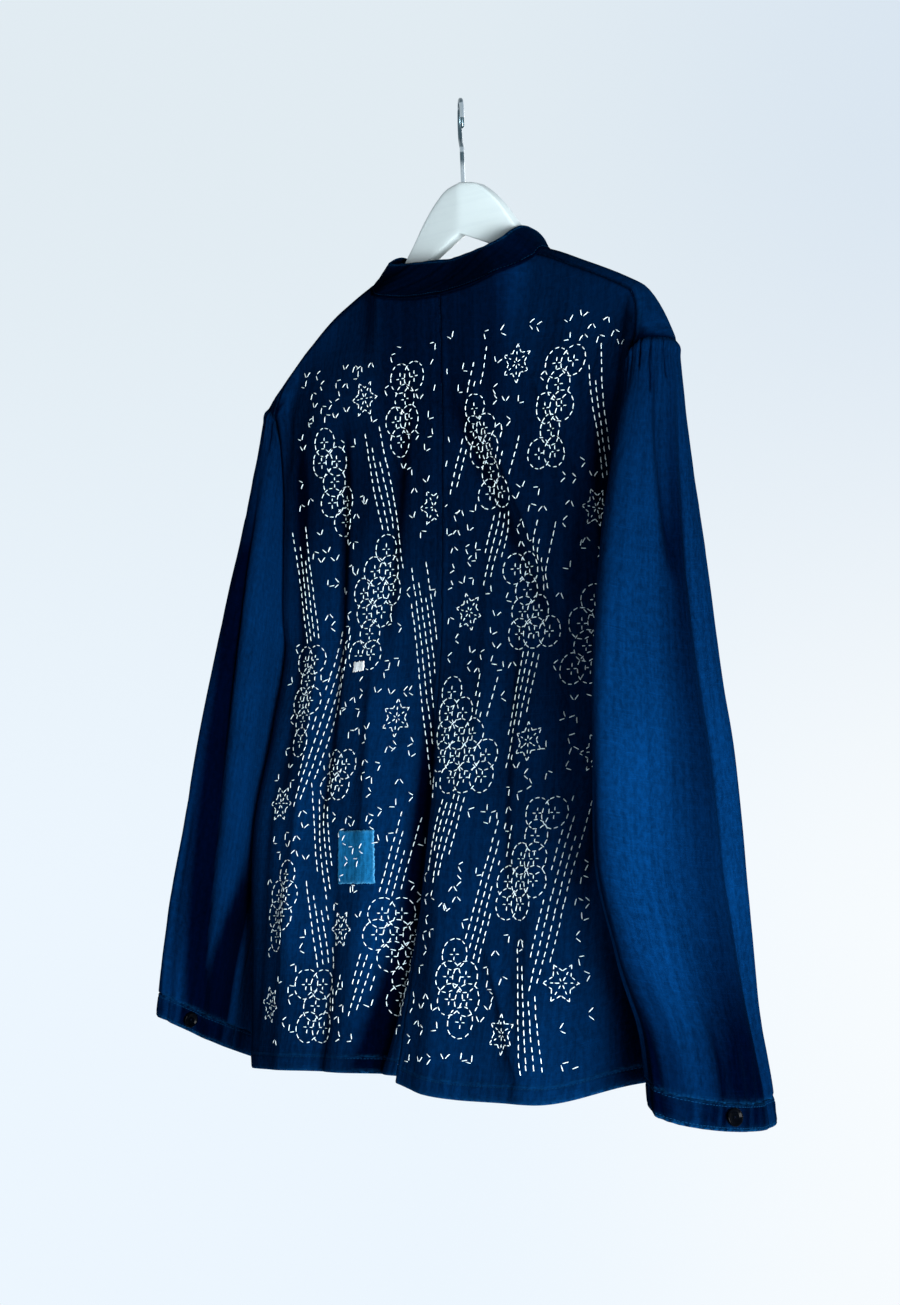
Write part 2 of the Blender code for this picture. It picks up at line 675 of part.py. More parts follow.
def build_cuff(side):
    """Cuff band below the sleeve."""

    def place(across, down):
        turn = mix(-180.0, 180.0, across)
        low = cuff_rim_z(side, turn)
        return sleeve_point(side, turn, mix(low + CUFF_HEIGHT, low, down))

    mesh = grid_mesh("cuff_" + side, SLEEVE_COLUMNS, CUFF_ROWS, place, wrap=True)
    face_outward(mesh, lambda centre: from_sleeve_middle(side, centre))
    return put("cuff_" + side, mesh, INDIGO, WALL)


def facets(piece):
    """Search tree of a panel's outer facets."""
    bm = bmesh.new()
    bm.from_mesh(piece.data)
    tree = BVHTree.FromBMesh(bm)
    bm.free()
    return tree


def build_patch(name, patch, panel, finish):
    """Patch laid on a back panel: the panel's own points, moved out."""
    tree = facets(panel)

    def place(across, down):
        z = mix(patch.z_high, patch.z_low, down)
        x = mix(patch.x_low, patch.x_high, across)
        spot, normal, _, _ = tree.ray_cast(Vector((x, 1.0, z)), Vector((0.0, -1.0, 0.0)))
        return spot + normal * (PATCH_LIFT + PATCH_WALL)

    mesh = grid_mesh(name, PATCH_CELLS, PATCH_CELLS, place)
    face_outward(mesh, lambda centre: Vector((0.0, 1.0, 0.0)))
    return put(name, mesh, finish, PATCH_WALL)


# --- buttons, hanger and hook ------------------------------------------------------------------------------------
def build_button(name, panel, near):
    """Round button, a short turned disc, flat on the panel's nearest facet and clear of it."""
    spot, normal, _, _ = facets(panel).find_nearest(near)
    bm = bmesh.new()
    bmesh.ops.create_cone(
        bm,
        cap_ends=True,
        segments=BUTTON_SIDES,
        radius1=BUTTON_RADIUS,
        radius2=BUTTON_TOP_RADIUS,
        depth=BUTTON_THICKNESS,
    )
    turn = Vector((0.0, 0.0, 1.0)).rotation_difference(normal).to_matrix().to_4x4()
    bmesh.ops.transform(bm, matrix=turn, verts=bm.verts)
    centre = spot + normal * (BUTTON_THICKNESS / 2 + BUTTON_CLEARANCE)
    bmesh.ops.translate(bm, vec=centre, verts=bm.verts)
    mesh = bpy.data.meshes.new(name)
    bm.to_mesh(mesh)
    bm.free()
    return put(name, mesh, BLACK_PLASTIC)


def build_buttons(front, cuffs):
    """Five buttons down the centre front and one on each cuff."""
    for number, z in enumerate(FRONT_BUTTON_HEIGHTS, start=1):
        build_button(f"button_front_{number}", front, hang_point("left", "front", 0.0, z))
    for side, turn in CUFF_BUTTON_TURN.items():
        z = cuff_rim_z(side, turn) + CUFF_HEIGHT / 2
        build_button("button_cuff_" + side, cuffs[side], sleeve_point(side, turn, z))


def hanger_y(x):
    """Middle of the hanger's thickness; the arms leave the middle in a shallow V."""
    return RIDGE_Y + HANGER_BEND * max(HANGER_BEND_END - abs(x), 0.0)


def build_hanger():
    """Wooden hanger: a chamfered bar lofted along its arms, bent forward from the middle."""
    ends = [stop.x for stop in HANGER]
    stations = [-x for x in reversed(ends[1:])] + ends

    def place(across, down):
        x = stations[round(down * (len(stations) - 1))]
        top = read(HANGER, "x", abs(x), "top")
        low = read(HANGER, "x", abs(x), "low")
        half = HANGER_THICKNESS / 2
        cut = HANGER_CHAMFER
        corners = [
            (-half, low + cut),
            (-half, top - cut),
            (-half + cut, top),
            (half - cut, top),
            (half, top - cut),
            (half, low + cut),
            (half - cut, low),
            (-half + cut, low),
            (-half, low + cut),
        ]
        y, z = corners[round(across * HANGER_CORNERS)]
        return Vector((x, hanger_y(x) + y, z))

    mesh = grid_mesh("hanger", HANGER_CORNERS, len(stations) - 1, place, wrap=True)
    bm = bmesh.new()
    bm.from_mesh(mesh)
    bmesh.ops.holes_fill(bm, edges=bm.edges, sides=HANGER_CORNERS)
    bmesh.ops.recalc_face_normals(bm, faces=bm.faces)
    bm.to_mesh(mesh)
    bm.free()
    mesh.set_sharp_from_angle(angle=math.radians(SHARP_ANGLE))
    return put("hanger", mesh, WHITE_LACQUER)


def hook_route():
    """Middle line of the hook's wire in its own plane: the stem, then the round of the hook."""
    foot = HANGER[0].top + SEAM_GAP
    centre_z = HOOK_WIRE - HOOK_RADIUS
    steps = []
    entry = math.radians(HOOK_ENTRY_ANGLE)
    entry_z = centre_z + HOOK_RADIUS * math.sin(entry)
    entry_x = HOOK_RADIUS * math.cos(entry)
    stem_top = entry_z - STEM_BEND_LENGTH
    steps.append((0.0, foot))
    steps.append((0.0, stem_top))
    for step in range(1, STEM_BEND_STEPS):
        t = step / STEM_BEND_STEPS
        steps.append((entry_x * smooth(t), mix(stem_top, entry_z, t)))
    for step in range(HOOK_STEPS + 1):
        angle = math.radians(mix(HOOK_ENTRY_ANGLE, HOOK_TIP_ANGLE, step / HOOK_STEPS))
        steps.append((HOOK_RADIUS * math.cos(angle), centre_z + HOOK_RADIUS * math.sin(angle)))
    return steps


def build_hook():
    """Chrome wire hook, turned on its swivel."""
    curve = bpy.data.curves.new("hook", "CURVE")
    curve.dimensions = "3D"
    curve.bevel_depth = HOOK_WIRE
    curve.bevel_resolution = 3
    curve.use_fill_caps = True
    route = hook_route()
    spline = curve.splines.new("POLY")
    spline.points.add(len(route) - 1)
    turn = math.radians(HOOK_TURN)
    for point, (out, z) in zip(spline.points, route):
        point.co = (out * math.cos(turn), out * math.sin(turn) + hanger_y(0.0), z, 1.0)
    piece = bpy.data.objects.new("hook", curve)
    curve.materials.append(material("hook", CHROME))
    bpy.context.collection.objects.link(piece)
    return piece


def main():
    """Clear the scene and build every piece."""
    for old in list(bpy.data.objects):
        bpy.data.objects.remove(old)
    backs = {}
    fronts = {}
    cuffs = {}
    for side in ("left", "right"):
        backs[side] = build_back(side)
        fronts[side] = build_front(side)
        build_sleeve(side)
        cuffs[side] = build_cuff(side)
    build_collar()
    build_patch("patch_blue", PATCH_BLUE, backs["left"], LIGHT_BLUE)
    build_patch("patch_white", PATCH_WHITE, backs["left"], WHITE_COTTON)
    build_buttons(fronts["left"], cuffs)
    build_hanger()
    build_hook()


main()
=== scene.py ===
"""Looks of an indigo work jacket with a patched, running-stitched back, on a contoured wooden hanger.

Metres, +Z up. The garment's front faces -Y and its centre plane is X = 0, so +X is the wearer's left.
The origin is where the hook rests on its rail. Each cloth piece is a thin shell whose outer face follows
the drape of its solid, with the creases, seams, hems and stitches that the solid leaves out.
"""

import logging
import math
from dataclasses import dataclass
from dataclasses import field
from enum import Enum
from typing import Callable
from typing import NamedTuple

import bmesh
import bpy
import numpy as np
from mathutils import Matrix
from mathutils import Vector
from mathutils.bvhtree import BVHTree

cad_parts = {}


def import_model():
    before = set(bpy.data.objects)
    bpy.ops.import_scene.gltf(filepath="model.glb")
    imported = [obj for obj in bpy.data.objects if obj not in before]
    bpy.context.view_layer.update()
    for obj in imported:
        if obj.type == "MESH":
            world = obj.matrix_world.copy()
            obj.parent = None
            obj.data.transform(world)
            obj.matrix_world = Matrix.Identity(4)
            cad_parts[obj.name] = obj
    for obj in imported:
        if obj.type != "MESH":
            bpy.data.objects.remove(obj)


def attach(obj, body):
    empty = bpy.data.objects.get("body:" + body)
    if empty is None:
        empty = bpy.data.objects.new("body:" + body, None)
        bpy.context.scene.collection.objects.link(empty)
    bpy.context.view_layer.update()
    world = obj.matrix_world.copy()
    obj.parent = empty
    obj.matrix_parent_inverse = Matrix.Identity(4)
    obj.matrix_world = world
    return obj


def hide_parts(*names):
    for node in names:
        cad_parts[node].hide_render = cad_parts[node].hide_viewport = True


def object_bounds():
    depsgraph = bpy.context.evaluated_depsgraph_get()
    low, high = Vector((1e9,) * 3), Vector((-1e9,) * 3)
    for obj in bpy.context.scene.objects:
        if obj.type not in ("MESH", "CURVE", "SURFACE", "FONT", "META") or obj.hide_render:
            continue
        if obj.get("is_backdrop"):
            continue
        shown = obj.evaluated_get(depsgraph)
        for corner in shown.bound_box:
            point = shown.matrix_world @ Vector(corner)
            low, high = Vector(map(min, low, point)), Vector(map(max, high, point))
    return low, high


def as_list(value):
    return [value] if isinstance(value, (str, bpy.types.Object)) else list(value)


LOG = logging.getLogger("jacket")

# --- sizes shared with the solids ---
SEAM_GAP = 0.0003
ARMHOLE_GAP = 0.0006
RIDGE_Y = -0.006
ROLL_RADIUS = 0.0165
SEAM_ROLL_ANGLE = 52.0
NECK_X = 0.104
NECK_NARROWING = 0.003
NECK_ROWS_DROP = 0.012
NECK_BACK_SHARE = 0.4
NECK_FRONT_SHARE = 0.6
NECK_FRONT_ANGLE = -70.0
COLLAR_GAP = 0.0006
COLLAR_LEAN = 0.002
COLLAR_BACK_OFFSET = 0.02
COLLAR_END_SHARE = 0.9
COLLAR_END_GAP = 0.0035
SHOULDER_END_X = 0.243
CAP_TURN = 112.0
CAP_START = 0.90
SETTLE = 0.10
SIDE_SETTLE = 0.12
DRIFT_START_X = 0.02
DRIFT_END_X = 0.235
DRIFT_IN = 0.06
DRIFT_OUT = 0.09
DRIFT_LOW_Z = -0.30
DRIFT_TALL = 0.08
DRIFT_X = 0.015
DRIFT_RISE = 0.003
DRIFT_COLLAR_RISE = -0.003
DRIFT_COLLAR_Z = -0.158
DRIFT_COLLAR_TALL = 0.03
FRONT_HEM_Z = -0.874
FRONT_HEM_LEVEL = 0.6
HEM_STEP_X = 0.001
UNDERARM_Z = -0.480
OVERLAP = 0.016
OVERLAP_LIFT = 0.0024
CUFF_HEIGHT = 0.022
FRONT_BUTTON_HEIGHTS = [-0.246, -0.364, -0.482, -0.600, -0.718]

# --- sizes of the sewing, finer than the solids ---
NECK_SETTLE_WIDTH = 0.034
SEWN_GAP = 0.00004
SHOULDER_TUCK = 0.0055
SHOULDER_TUCK_Z = -0.252
SHOULDER_TUCK_TALL = 0.030
SHOULDER_TUCK_X = 0.19
SHOULDER_TUCK_WIDE = 0.04
CREASE_SOFTNESS = 0.02
HEM_DEPTH = 0.015
STITCH_INSET = 0.0018
STRIP_WIDTH = 0.030
YOKE_STITCH = 0.0065
CENTRE_STITCH = 0.0075
BAND_STITCH = 0.0031
COLLAR_LOW_STITCH = 0.0043
STRIP_STITCH_START = 44
SLEEVE_RADIUS = 0.055
CLOTH = 0.0008
PATCH_CLOTH = 0.0007
TUCK = 0.004
BUTTON_LIFT = 0.0009
BUTTON_THREAD_WIDTH = 0.0007
BUTTON_THREAD_THICK = 0.0005
BUTTON_SEAT_SHARE = 0.8
MERGE = 0.00001

# --- how the dye and the painted shade lie: added to a depth that is 0 at its lightest and 1 at its darkest ---
# painted shade: the cloth is painted darker towards the top, rising from this height over this span
HEIGHT_SHADE_LOW_Z = -0.70
HEIGHT_SHADE_TALL = 0.46
# seam lines: partly dye kept in the groove, partly painted shade
SEAM_DYE_AND_SHADE = 0.6
SEAM_DYE_AND_SHADE_WIDE = 0.0020
CENTRE_SEAM_SHARE = 0.4
# painted shade in the creases' troughs
FOLD_SHADE = 1.0
# above the yoke: less painted shade on the shoulders, least on the far one, a little more under the neck
SHOULDER_SHADE_OFFSET = -0.24
FAR_SHOULDER_OFFSET_SHARE = 0.6
NECK_SHADE_OFFSET = 0.05
YOKE_SHADE_Z = -0.34
YOKE_SHADE_TALL = 0.12
# painted shadow of the sleeves on the back beside them, low down
UNDER_SLEEVE_SHADOW = 0.7
# lighter patch on the back's far half
FAR_HALF_LIGHTENING = 0.26
# less painted shade on the front's shoulder strip
STRIP_LESS_SHADE = 0.42

# --- camera and floor ---
CAMERA_TURN = 228.0
CAMERA_DISTANCE = 2.70
CAMERA_Z = -0.7191
CAMERA_PITCH = 4.593
CAMERA_LENS = 83.27
CAMERA_SHIFT = -0.00996
FLOOR_Z = -1.70
FLOOR_RADIUS = 4.0


class Side(Enum):
    """The wearer's side; its value is the sign of X there."""

    LEFT = 1.0
    RIGHT = -1.0

    @property
    def word(self) -> str:
        """Lower-case word for names."""
        return self.name.lower()


class Face(Enum):
    """Back or front of the body; its value is the sign of Y there."""

    BACK = 1.0
    FRONT = -1.0


CUFF_BUTTON_TURN = {Side.RIGHT: 3.0, Side.LEFT: 132.0}
# painted shade of the far sleeve: more below the height low_from, where the body shadows it, and in its
# folds
FAR_SLEEVE_SHADE = {"low_dye": 0.30, "low_from": -0.50, "fold_dye": 0.95}


# --- tables: a row for each section, stop or crease ---
class Ridge(NamedTuple):
    """Shoulder ridge: height at a distance from the centre."""

    x: float
    z: float


class Ring(NamedTuple):
    """Plan of the body at a height."""

    z: float
    half_width: float
    back: float
    front: float
    side: float
    square: float


class HemStop(NamedTuple):
    """Height of the hem at a place across the back."""

    x: float
    z: float


class NeckStop(NamedTuple):
    """Heights of the neckline at a distance from the centre."""

    x: float
    back_z: float
    front_z: float


class CollarStop(NamedTuple):
    """Collar's top edge at a turn from the centre back."""

    turn: float
    x: float
    y: float
    z: float


class Section(NamedTuple):
    """Section of a sleeve at a height."""

    z: float
    centre_x: float
    centre_y: float
    across: float
    deep: float


class ArmholeStop(NamedTuple):
    """Height of the armhole seam at a turn round the sleeve."""

    turn: float
    z: float


class CuffRim(NamedTuple):
    """Turn where the cuff's rim has its height, and the height on the far side."""

    turn: float
    height: float
    beyond: float


class HangerStop(NamedTuple):
    """Top and low edge of the hanger at a distance from its middle."""

    x: float
    top: float
    low: float


RIDGE = [
    Ridge(0.000, -0.128),
    Ridge(0.104, -0.150),
    Ridge(0.151, -0.168),
    Ridge(0.200, -0.189),
    Ridge(0.228, -0.204),
    Ridge(0.248, -0.223),
    Ridge(0.2655, -0.252),
]
BODY = [
    Ring(-0.150, 0.2385, 0.030, -0.060, 0.000, 2.6),
    Ring(-0.260, 0.2385, 0.027, -0.072, 0.006, 2.8),
    Ring(-0.360, 0.2385, 0.026, -0.070, 0.008, 3.2),
    Ring(-0.480, 0.2385, 0.027, -0.068, 0.006, 3.6),
    Ring(-0.560, 0.2470, 0.036, -0.072, 0.006, 4.8),
    Ring(-0.660, 0.2600, 0.051, -0.078, 0.010, 5.6),
    Ring(-0.760, 0.2625, 0.060, -0.084, 0.006, 4.2),
    Ring(-0.900, 0.2625, 0.083, -0.092, 0.000, 2.7),
]
HEM = [
    HemStop(-0.262, -0.871),
    HemStop(-0.170, -0.893),
    HemStop(-0.098, -0.893),
    HemStop(-0.001, -0.882),
    HemStop(0.001, -0.876),
    HemStop(0.110, -0.877),
    HemStop(0.262, -0.881),
]
NECK = [
    NeckStop(0.000, -0.180, -0.222),
    NeckStop(0.035, -0.178, -0.216),
    NeckStop(0.070, -0.172, -0.200),
    NeckStop(0.092, -0.164, -0.180),
    NeckStop(0.104, -0.157, -0.163),
]
COLLAR_TOP = [
    CollarStop(0.0, 0.0000, 0.014, -0.1455),
    CollarStop(40.0, 0.0450, 0.016, -0.1415),
    CollarStop(72.0, 0.0720, 0.014, -0.1340),
    CollarStop(90.0, 0.0755, -0.006, -0.1245),
    CollarStop(108.0, 0.0710, -0.032, -0.1300),
    CollarStop(140.0, 0.0520, -0.058, -0.1480),
    CollarStop(180.0, 0.0030, -0.076, -0.1780),
]
SLEEVES = {
    Side.RIGHT: [
        Section(-0.252, 0.2495, 0.002, 0.0160, 0.0225),
        Section(-0.285, 0.2515, 0.009, 0.0190, 0.0280),
        Section(-0.345, 0.2545, 0.016, 0.0230, 0.0395),
        Section(-0.426, 0.2610, 0.023, 0.0265, 0.0540),
        Section(-0.530, 0.2735, 0.032, 0.0280, 0.0680),
        Section(-0.607, 0.2840, 0.035, 0.0290, 0.0770),
        Section(-0.690, 0.2915, 0.037, 0.0290, 0.0830),
        Section(-0.768, 0.2990, 0.028, 0.0300, 0.0760),
        Section(-0.832, 0.3145, 0.025, 0.0310, 0.0650),
        Section(-0.885, 0.3295, 0.030, 0.0290, 0.0670),
        Section(-0.908, 0.3330, 0.034, 0.0280, 0.0720),
    ],
    Side.LEFT: [
        Section(-0.252, 0.2495, 0.002, 0.0160, 0.0225),
        Section(-0.285, 0.2515, 0.003, 0.0190, 0.0280),
        Section(-0.345, 0.2545, 0.003, 0.0230, 0.0395),
        Section(-0.426, 0.2610, 0.005, 0.0265, 0.0540),
        Section(-0.530, 0.2735, 0.007, 0.0280, 0.0680),
        Section(-0.622, 0.2860, 0.008, 0.0290, 0.0770),
        Section(-0.713, 0.2950, 0.016, 0.0290, 0.0820),
        Section(-0.802, 0.3160, 0.024, 0.0300, 0.0720),
        Section(-0.880, 0.3370, 0.024, 0.0290, 0.0680),
    ],
}
ARMHOLE = [
    ArmholeStop(0.0, -0.2520),
    ArmholeStop(60.0, -0.2530),
    ArmholeStop(105.0, -0.2600),
    ArmholeStop(135.0, -0.2830),
    ArmholeStop(152.0, -0.3280),
    ArmholeStop(161.0, -0.3980),
    ArmholeStop(169.0, -0.4480),
    ArmholeStop(180.0, -0.4800),
]
CUFF_RIM = {Side.RIGHT: CuffRim(-25.0, -0.907, -0.884), Side.LEFT: CuffRim(65.0, -0.833, -0.880)}
HANGER = [
    HangerStop(0.000, -0.0740, -0.1215),
    HangerStop(0.018, -0.0770, -0.1285),
    HangerStop(0.034, -0.0865, -0.1350),
    HangerStop(0.050, -0.1010, -0.1420),
    HangerStop(0.067, -0.1210, -0.1510),
    HangerStop(0.085, -0.1400, -0.1620),
    HangerStop(0.104, -0.1560, -0.1760),
    HangerStop(0.151, -0.1745, -0.1980),
    HangerStop(0.200, -0.1950, -0.2170),
    HangerStop(0.216, -0.2050, -0.2210),
]


class Crease(NamedTuple):
    """Soft trough (depth below 0) or ridge that runs down a sheet.

    top and low are its place across at its two ends, in metres on the body and in degrees on a sleeve;
    wide is its half width in the same unit, skew makes one flank steeper, bow bends its run, and a power
    under 2 sharpens its middle. shade_top and shade_low say how far to one side, below 0 to the lower side,
    the painted shade of a trough reaches at the two ends, and core which share of that is evenly dark.
    """

    top: float
    top_z: float
    low: float
    low_z: float
    wide: float
    depth: float
    skew: float = 0.0
    bow: float = 0.0
    power: float = 2.0
    shade_top: float = 0.0
    shade_low: float = 0.0
    core: float = 0.3


BACK_CREASES = [
    Crease(0.012, -0.480, 0.058, -0.975, 0.020, -0.0130, 0.40, -0.026, 1.4, 0.012, 0.060, 0.26),
    Crease(-0.034, -0.560, -0.050, -0.985, 0.026, 0.0070, -0.2),
    Crease(0.070, -0.620, 0.066, -0.985, 0.026, 0.0060, 0.1),
    Crease(0.094, -0.470, 0.070, -0.700, 0.015, 0.0045, -0.3, 0.0, 1.6),
    Crease(0.134, -0.250, 0.142, -0.690, 0.014, -0.0075, 0.4, 0.006, 1.4),
    Crease(0.172, -0.420, 0.176, -0.820, 0.013, 0.0040, -0.3, 0.0, 1.6),
    Crease(-0.030, -0.250, -0.176, -0.500, 0.016, 0.0065, -0.45, 0.0, 1.4),
    Crease(0.004, -0.255, -0.140, -0.500, 0.018, -0.0040, 0.2, 0.0, 1.6),
    Crease(-0.100, -0.240, -0.205, -0.400, 0.012, 0.0035, -0.4, 0.0, 1.5),
    Crease(-0.196, -0.250, -0.206, -0.740, 0.018, -0.0080, 0.3, 0.0, 1.5),
    Crease(0.206, -0.230, 0.210, -0.660, 0.014, -0.0060, 0.2, 0.0, 1.5),
    Crease(-0.150, -0.600, -0.166, -0.975, 0.022, 0.0060, -0.2),
    Crease(-0.090, -0.745, -0.156, -0.880, 0.010, 0.0042, -0.4, 0.0, 1.4),
    Crease(0.176, -0.660, 0.160, -0.985, 0.026, 0.0065, -0.2),
    Crease(0.114, -0.680, 0.104, -0.975, 0.014, -0.0045, 0.4, 0.0, 1.5),
    Crease(-0.098, -0.450, -0.118, -0.740, 0.013, -0.0040, 0.4, 0.008, 1.5),
    Crease(-0.060, -0.400, -0.064, -0.610, 0.012, 0.0030, -0.3, 0.0, 1.5),
    Crease(0.045, -0.230, 0.078, -0.500, 0.014, -0.0035, 0.3, 0.0, 1.6),
    Crease(0.222, -0.560, 0.226, -0.880, 0.012, -0.0045, 0.2, 0.0, 1.6),
]
FRONT_CREASES = [
    Crease(0.110, -0.270, 0.100, -0.960, 0.019, -0.0080, -0.3, 0.0, 1.5),
    Crease(-0.120, -0.300, -0.105, -0.960, 0.021, -0.0090, 0.3, 0.0, 1.5),
    Crease(0.180, -0.380, 0.190, -0.960, 0.0165, 0.0060),
    Crease(-0.185, -0.360, -0.180, -0.960, 0.0165, 0.0060),
    Crease(0.070, -0.520, 0.060, -0.980, 0.015, 0.0050),
    Crease(-0.065, -0.480, -0.058, -0.980, 0.014, 0.0050),
    Crease(0.205, -0.260, 0.150, -0.470, 0.012, -0.0050, 0.3, 0.0, 1.5),
    Crease(-0.205, -0.250, -0.155, -0.450, 0.012, -0.0050, -0.3, 0.0, 1.5),
]
SLEEVE_CREASES = {
    Side.RIGHT: [
        Crease(-12.0, -0.240, -48.0, -0.960, 14.0, -0.0100, -0.42, -4.0, 1.25, 34.0, 106.0, 0.36),
        Crease(40.0, -0.250, -2.0, -0.470, 10.0, -0.0060, -0.3, 0.0, 1.6),
        Crease(47.0, -0.246, 40.0, -0.306, 5.0, -0.0034, -0.3, 0.0, 1.2, 4.0, 3.0, 0.2),
        Crease(14.0, -0.246, 8.0, -0.292, 5.0, -0.0028, 0.3, 0.0, 1.2, 4.0, 3.0, 0.2),
        Crease(74.0, -0.248, 70.0, -0.284, 4.0, -0.0018, 0.3, 0.0, 1.2),
        Crease(34.0, -0.700, 26.0, -0.900, 7.0, 0.0022, -0.3, 0.0, 1.4),
        Crease(66.0, -0.300, 58.0, -0.960, 26.0, 0.0050),
        Crease(96.0, -0.560, 100.0, -1.000, 14.0, -0.0040, 0.2, 0.0, 1.5, -40.0, -76.0, 0.1),
        Crease(-74.0, -0.300, -70.0, -0.960, 15.0, 0.0040),
        Crease(-100.0, -0.300, -96.0, -0.930, 12.0, -0.0060, 0.0, 0.0, 1.4),
        Crease(66.0, -0.740, 40.0, -0.905, 8.0, -0.0026, -0.3, 0.0, 1.4),
        Crease(16.0, -0.800, 6.0, -0.925, 6.0, -0.0034, -0.3, 0.0, 1.3),
        Crease(84.0, -0.800, 70.0, -0.915, 5.0, -0.0030, -0.3, 0.0, 1.3),
        Crease(-12.0, -0.820, -16.0, -0.930, 5.0, -0.0024, -0.3, 0.0, 1.3),
        Crease(60.0, -0.830, 56.0, -0.920, 4.0, -0.0020, 0.3, 0.0, 1.3),
        Crease(150.0, -0.500, 150.0, -0.900, 10.0, -0.0050, 0.0, 0.0, 1.5),
        Crease(-130.0, -0.380, -140.0, -0.860, 12.0, 0.0040),
    ],
    Side.LEFT: [
        Crease(92.0, -0.270, 158.0, -0.960, 15.0, -0.0150, -0.40, 0.0, 1.25, -70.0, -28.0, 0.15),
        Crease(172.0, -0.640, 166.0, -1.020, 12.0, -0.0030, -0.2, 0.0, 1.5, -10.0, -60.0, 0.5),
        Crease(76.0, -0.270, 90.0, -0.900, 16.0, 0.0040),
        Crease(132.0, -0.330, 164.0, -0.955, 13.0, 0.0045),
        Crease(90.0, -0.600, 104.0, -0.880, 8.0, -0.0034, -0.3, 0.0, 1.4),
        Crease(20.0, -0.270, 26.0, -0.880, 12.0, -0.0070, 0.2, 0.0, 1.4),
        Crease(112.0, -0.254, 110.0, -0.302, 5.0, -0.0022, 0.3, 0.0, 1.2),
        Crease(-30.0, -0.300, -38.0, -0.860, 14.0, 0.0045),
        Crease(-80.0, -0.320, -70.0, -0.860, 13.0, -0.0060, 0.0, 0.0, 1.4),
        Crease(60.0, -0.720, 52.0, -0.870, 8.0, -0.0028, 0.0, 0.0, 1.4),
    ],
}


# --- curves ---
Numbers = np.ndarray


def mix(a: Numbers, b: Numbers, t: Numbers) -> Numbers:
    """Value between a and b."""
    return a + (b - a) * t


def smooth(t: Numbers) -> Numbers:
    """0 to 1 with level ends."""
    held = np.clip(t, 0.0, 1.0)
    return held * held * (3.0 - 2.0 * held)


class Track:
    """Smooth curve through a table's column, read by another column that rises or falls."""

    def __init__(self, table: list, key: str, column: str) -> None:
        """Keep the column's stops in rising order, with a bend for each."""
        rows = sorted(table, key=lambda row: getattr(row, key))
        self.keys = np.array([getattr(row, key) for row in rows])
        self.data = np.array([getattr(row, column) for row in rows])
        slopes = np.diff(self.data) / np.diff(self.keys)
        both = slopes[:-1] * slopes[1:]
        total = np.where(both > 0.0, slopes[:-1] + slopes[1:], 1.0)
        inner = np.where(both > 0.0, 2.0 * both / total, 0.0)
        self.bends = np.concatenate([slopes[:1], inner, slopes[-1:]])

    def at(self, value: Numbers) -> Numbers:
        """Value of the column, held level past both ends."""
        held = np.clip(np.asarray(value, dtype=float), self.keys[0], self.keys[-1])
        i = np.clip(np.searchsorted(self.keys, held, side="right") - 1, 0, len(self.keys) - 2)
        span = self.keys[i + 1] - self.keys[i]
        t = (held - self.keys[i]) / span
        rise = self.data[i + 1] - self.data[i]
        start = span * self.bends[i]
        end = span * self.bends[i + 1]
        square, cube = 3 * rise - 2 * start - end, start + end - 2 * rise
        return self.data[i] + start * t + square * t**2 + cube * t**3


def off_centre(places: Numbers) -> Numbers:
    """Move places with the neck, which sits off centre towards the left shoulder."""
    x, z = places[..., 0], places[..., 2]
    beside = smooth((x - DRIFT_START_X) / DRIFT_IN) * smooth((DRIFT_END_X - x) / DRIFT_OUT)
    share = beside * smooth((z - DRIFT_LOW_Z) / DRIFT_TALL)
    rise = mix(DRIFT_RISE, DRIFT_COLLAR_RISE, smooth((z - DRIFT_COLLAR_Z) / DRIFT_COLLAR_TALL))
    return places + points(DRIFT_X, 0.0, rise) * share[..., None]


def bell(distance: Numbers, wide: float) -> Numbers:
    """1 on a line, falling softly to nothing on both sides of it."""
    return np.exp(-((distance / wide) ** 2))


def crease_line(crease: Crease, z: Numbers) -> tuple[Numbers, Numbers]:
    """Share of a crease's run, 0 at its top, and its middle's place across, at heights."""
    run = np.clip((crease.top_z - z) / (crease.top_z - crease.low_z), 0.0, 1.0)
    return run, mix(crease.top, crease.low, run) + crease.bow * np.sin(run * math.pi)


def crease_height(crease: Crease, across: Numbers, z: Numbers) -> Numbers:
    """Height of a crease at places on its sheet.

    Args:
        crease: the trough or ridge.
        across: places across, in the crease's own unit.
        z: heights.

    Returns:
        How far the cloth moves outwards there.
    """
    run, middle = crease_line(crease, z)
    fade = smooth(run / 0.35) * smooth((1.0 - run) / 0.22)
    apart = across - middle
    wide = crease.wide * np.where(apart > 0.0, 1.0 + crease.skew, 1.0 - crease.skew)
    away = (apart / wide) ** 2 + CREASE_SOFTNESS
    shape = np.exp(CREASE_SOFTNESS ** (crease.power / 2) - away ** (crease.power / 2))
    return crease.depth * fade * shape


def crease_shade(crease: Crease, across: Numbers, z: Numbers) -> Numbers:
    """How much painted shade a trough gets, 0 to 1.

    Args:
        crease: the trough; where it has no shade reach, its painted shade is darkest on its steeper flank.
        across: places across, in the crease's own unit.
        z: heights.

    Returns:
        Share of painted shade there.
    """
    run, middle = crease_line(crease, z)
    fade = smooth(run / 0.30) * smooth((1.0 - run) / 0.15)
    if crease.shade_top != 0.0:
        reach = mix(crease.shade_top, crease.shade_low, run)
        share = (across - middle) / reach
        beyond = smooth(1.0 + share * np.abs(reach) / (0.35 * crease.wide))
        within = smooth((1.0 - share) / (1.0 - crease.core))
        return fade * np.where(share > 0.0, within, beyond)
    steep = crease.wide * (1.0 - abs(crease.skew))
    flank = middle + (0.55 if crease.skew < 0.0 else -0.55) * steep
    deep = np.clip(-crease.depth / 0.012, 0.0, 1.0)
    return deep * fade * bell(across - flank, 0.85 * steep)


def points(x: Numbers, y: Numbers, z: Numbers) -> Numbers:
    """Rows of X, Y and Z."""
    return np.stack(np.broadcast_arrays(x, y, z), axis=-1)


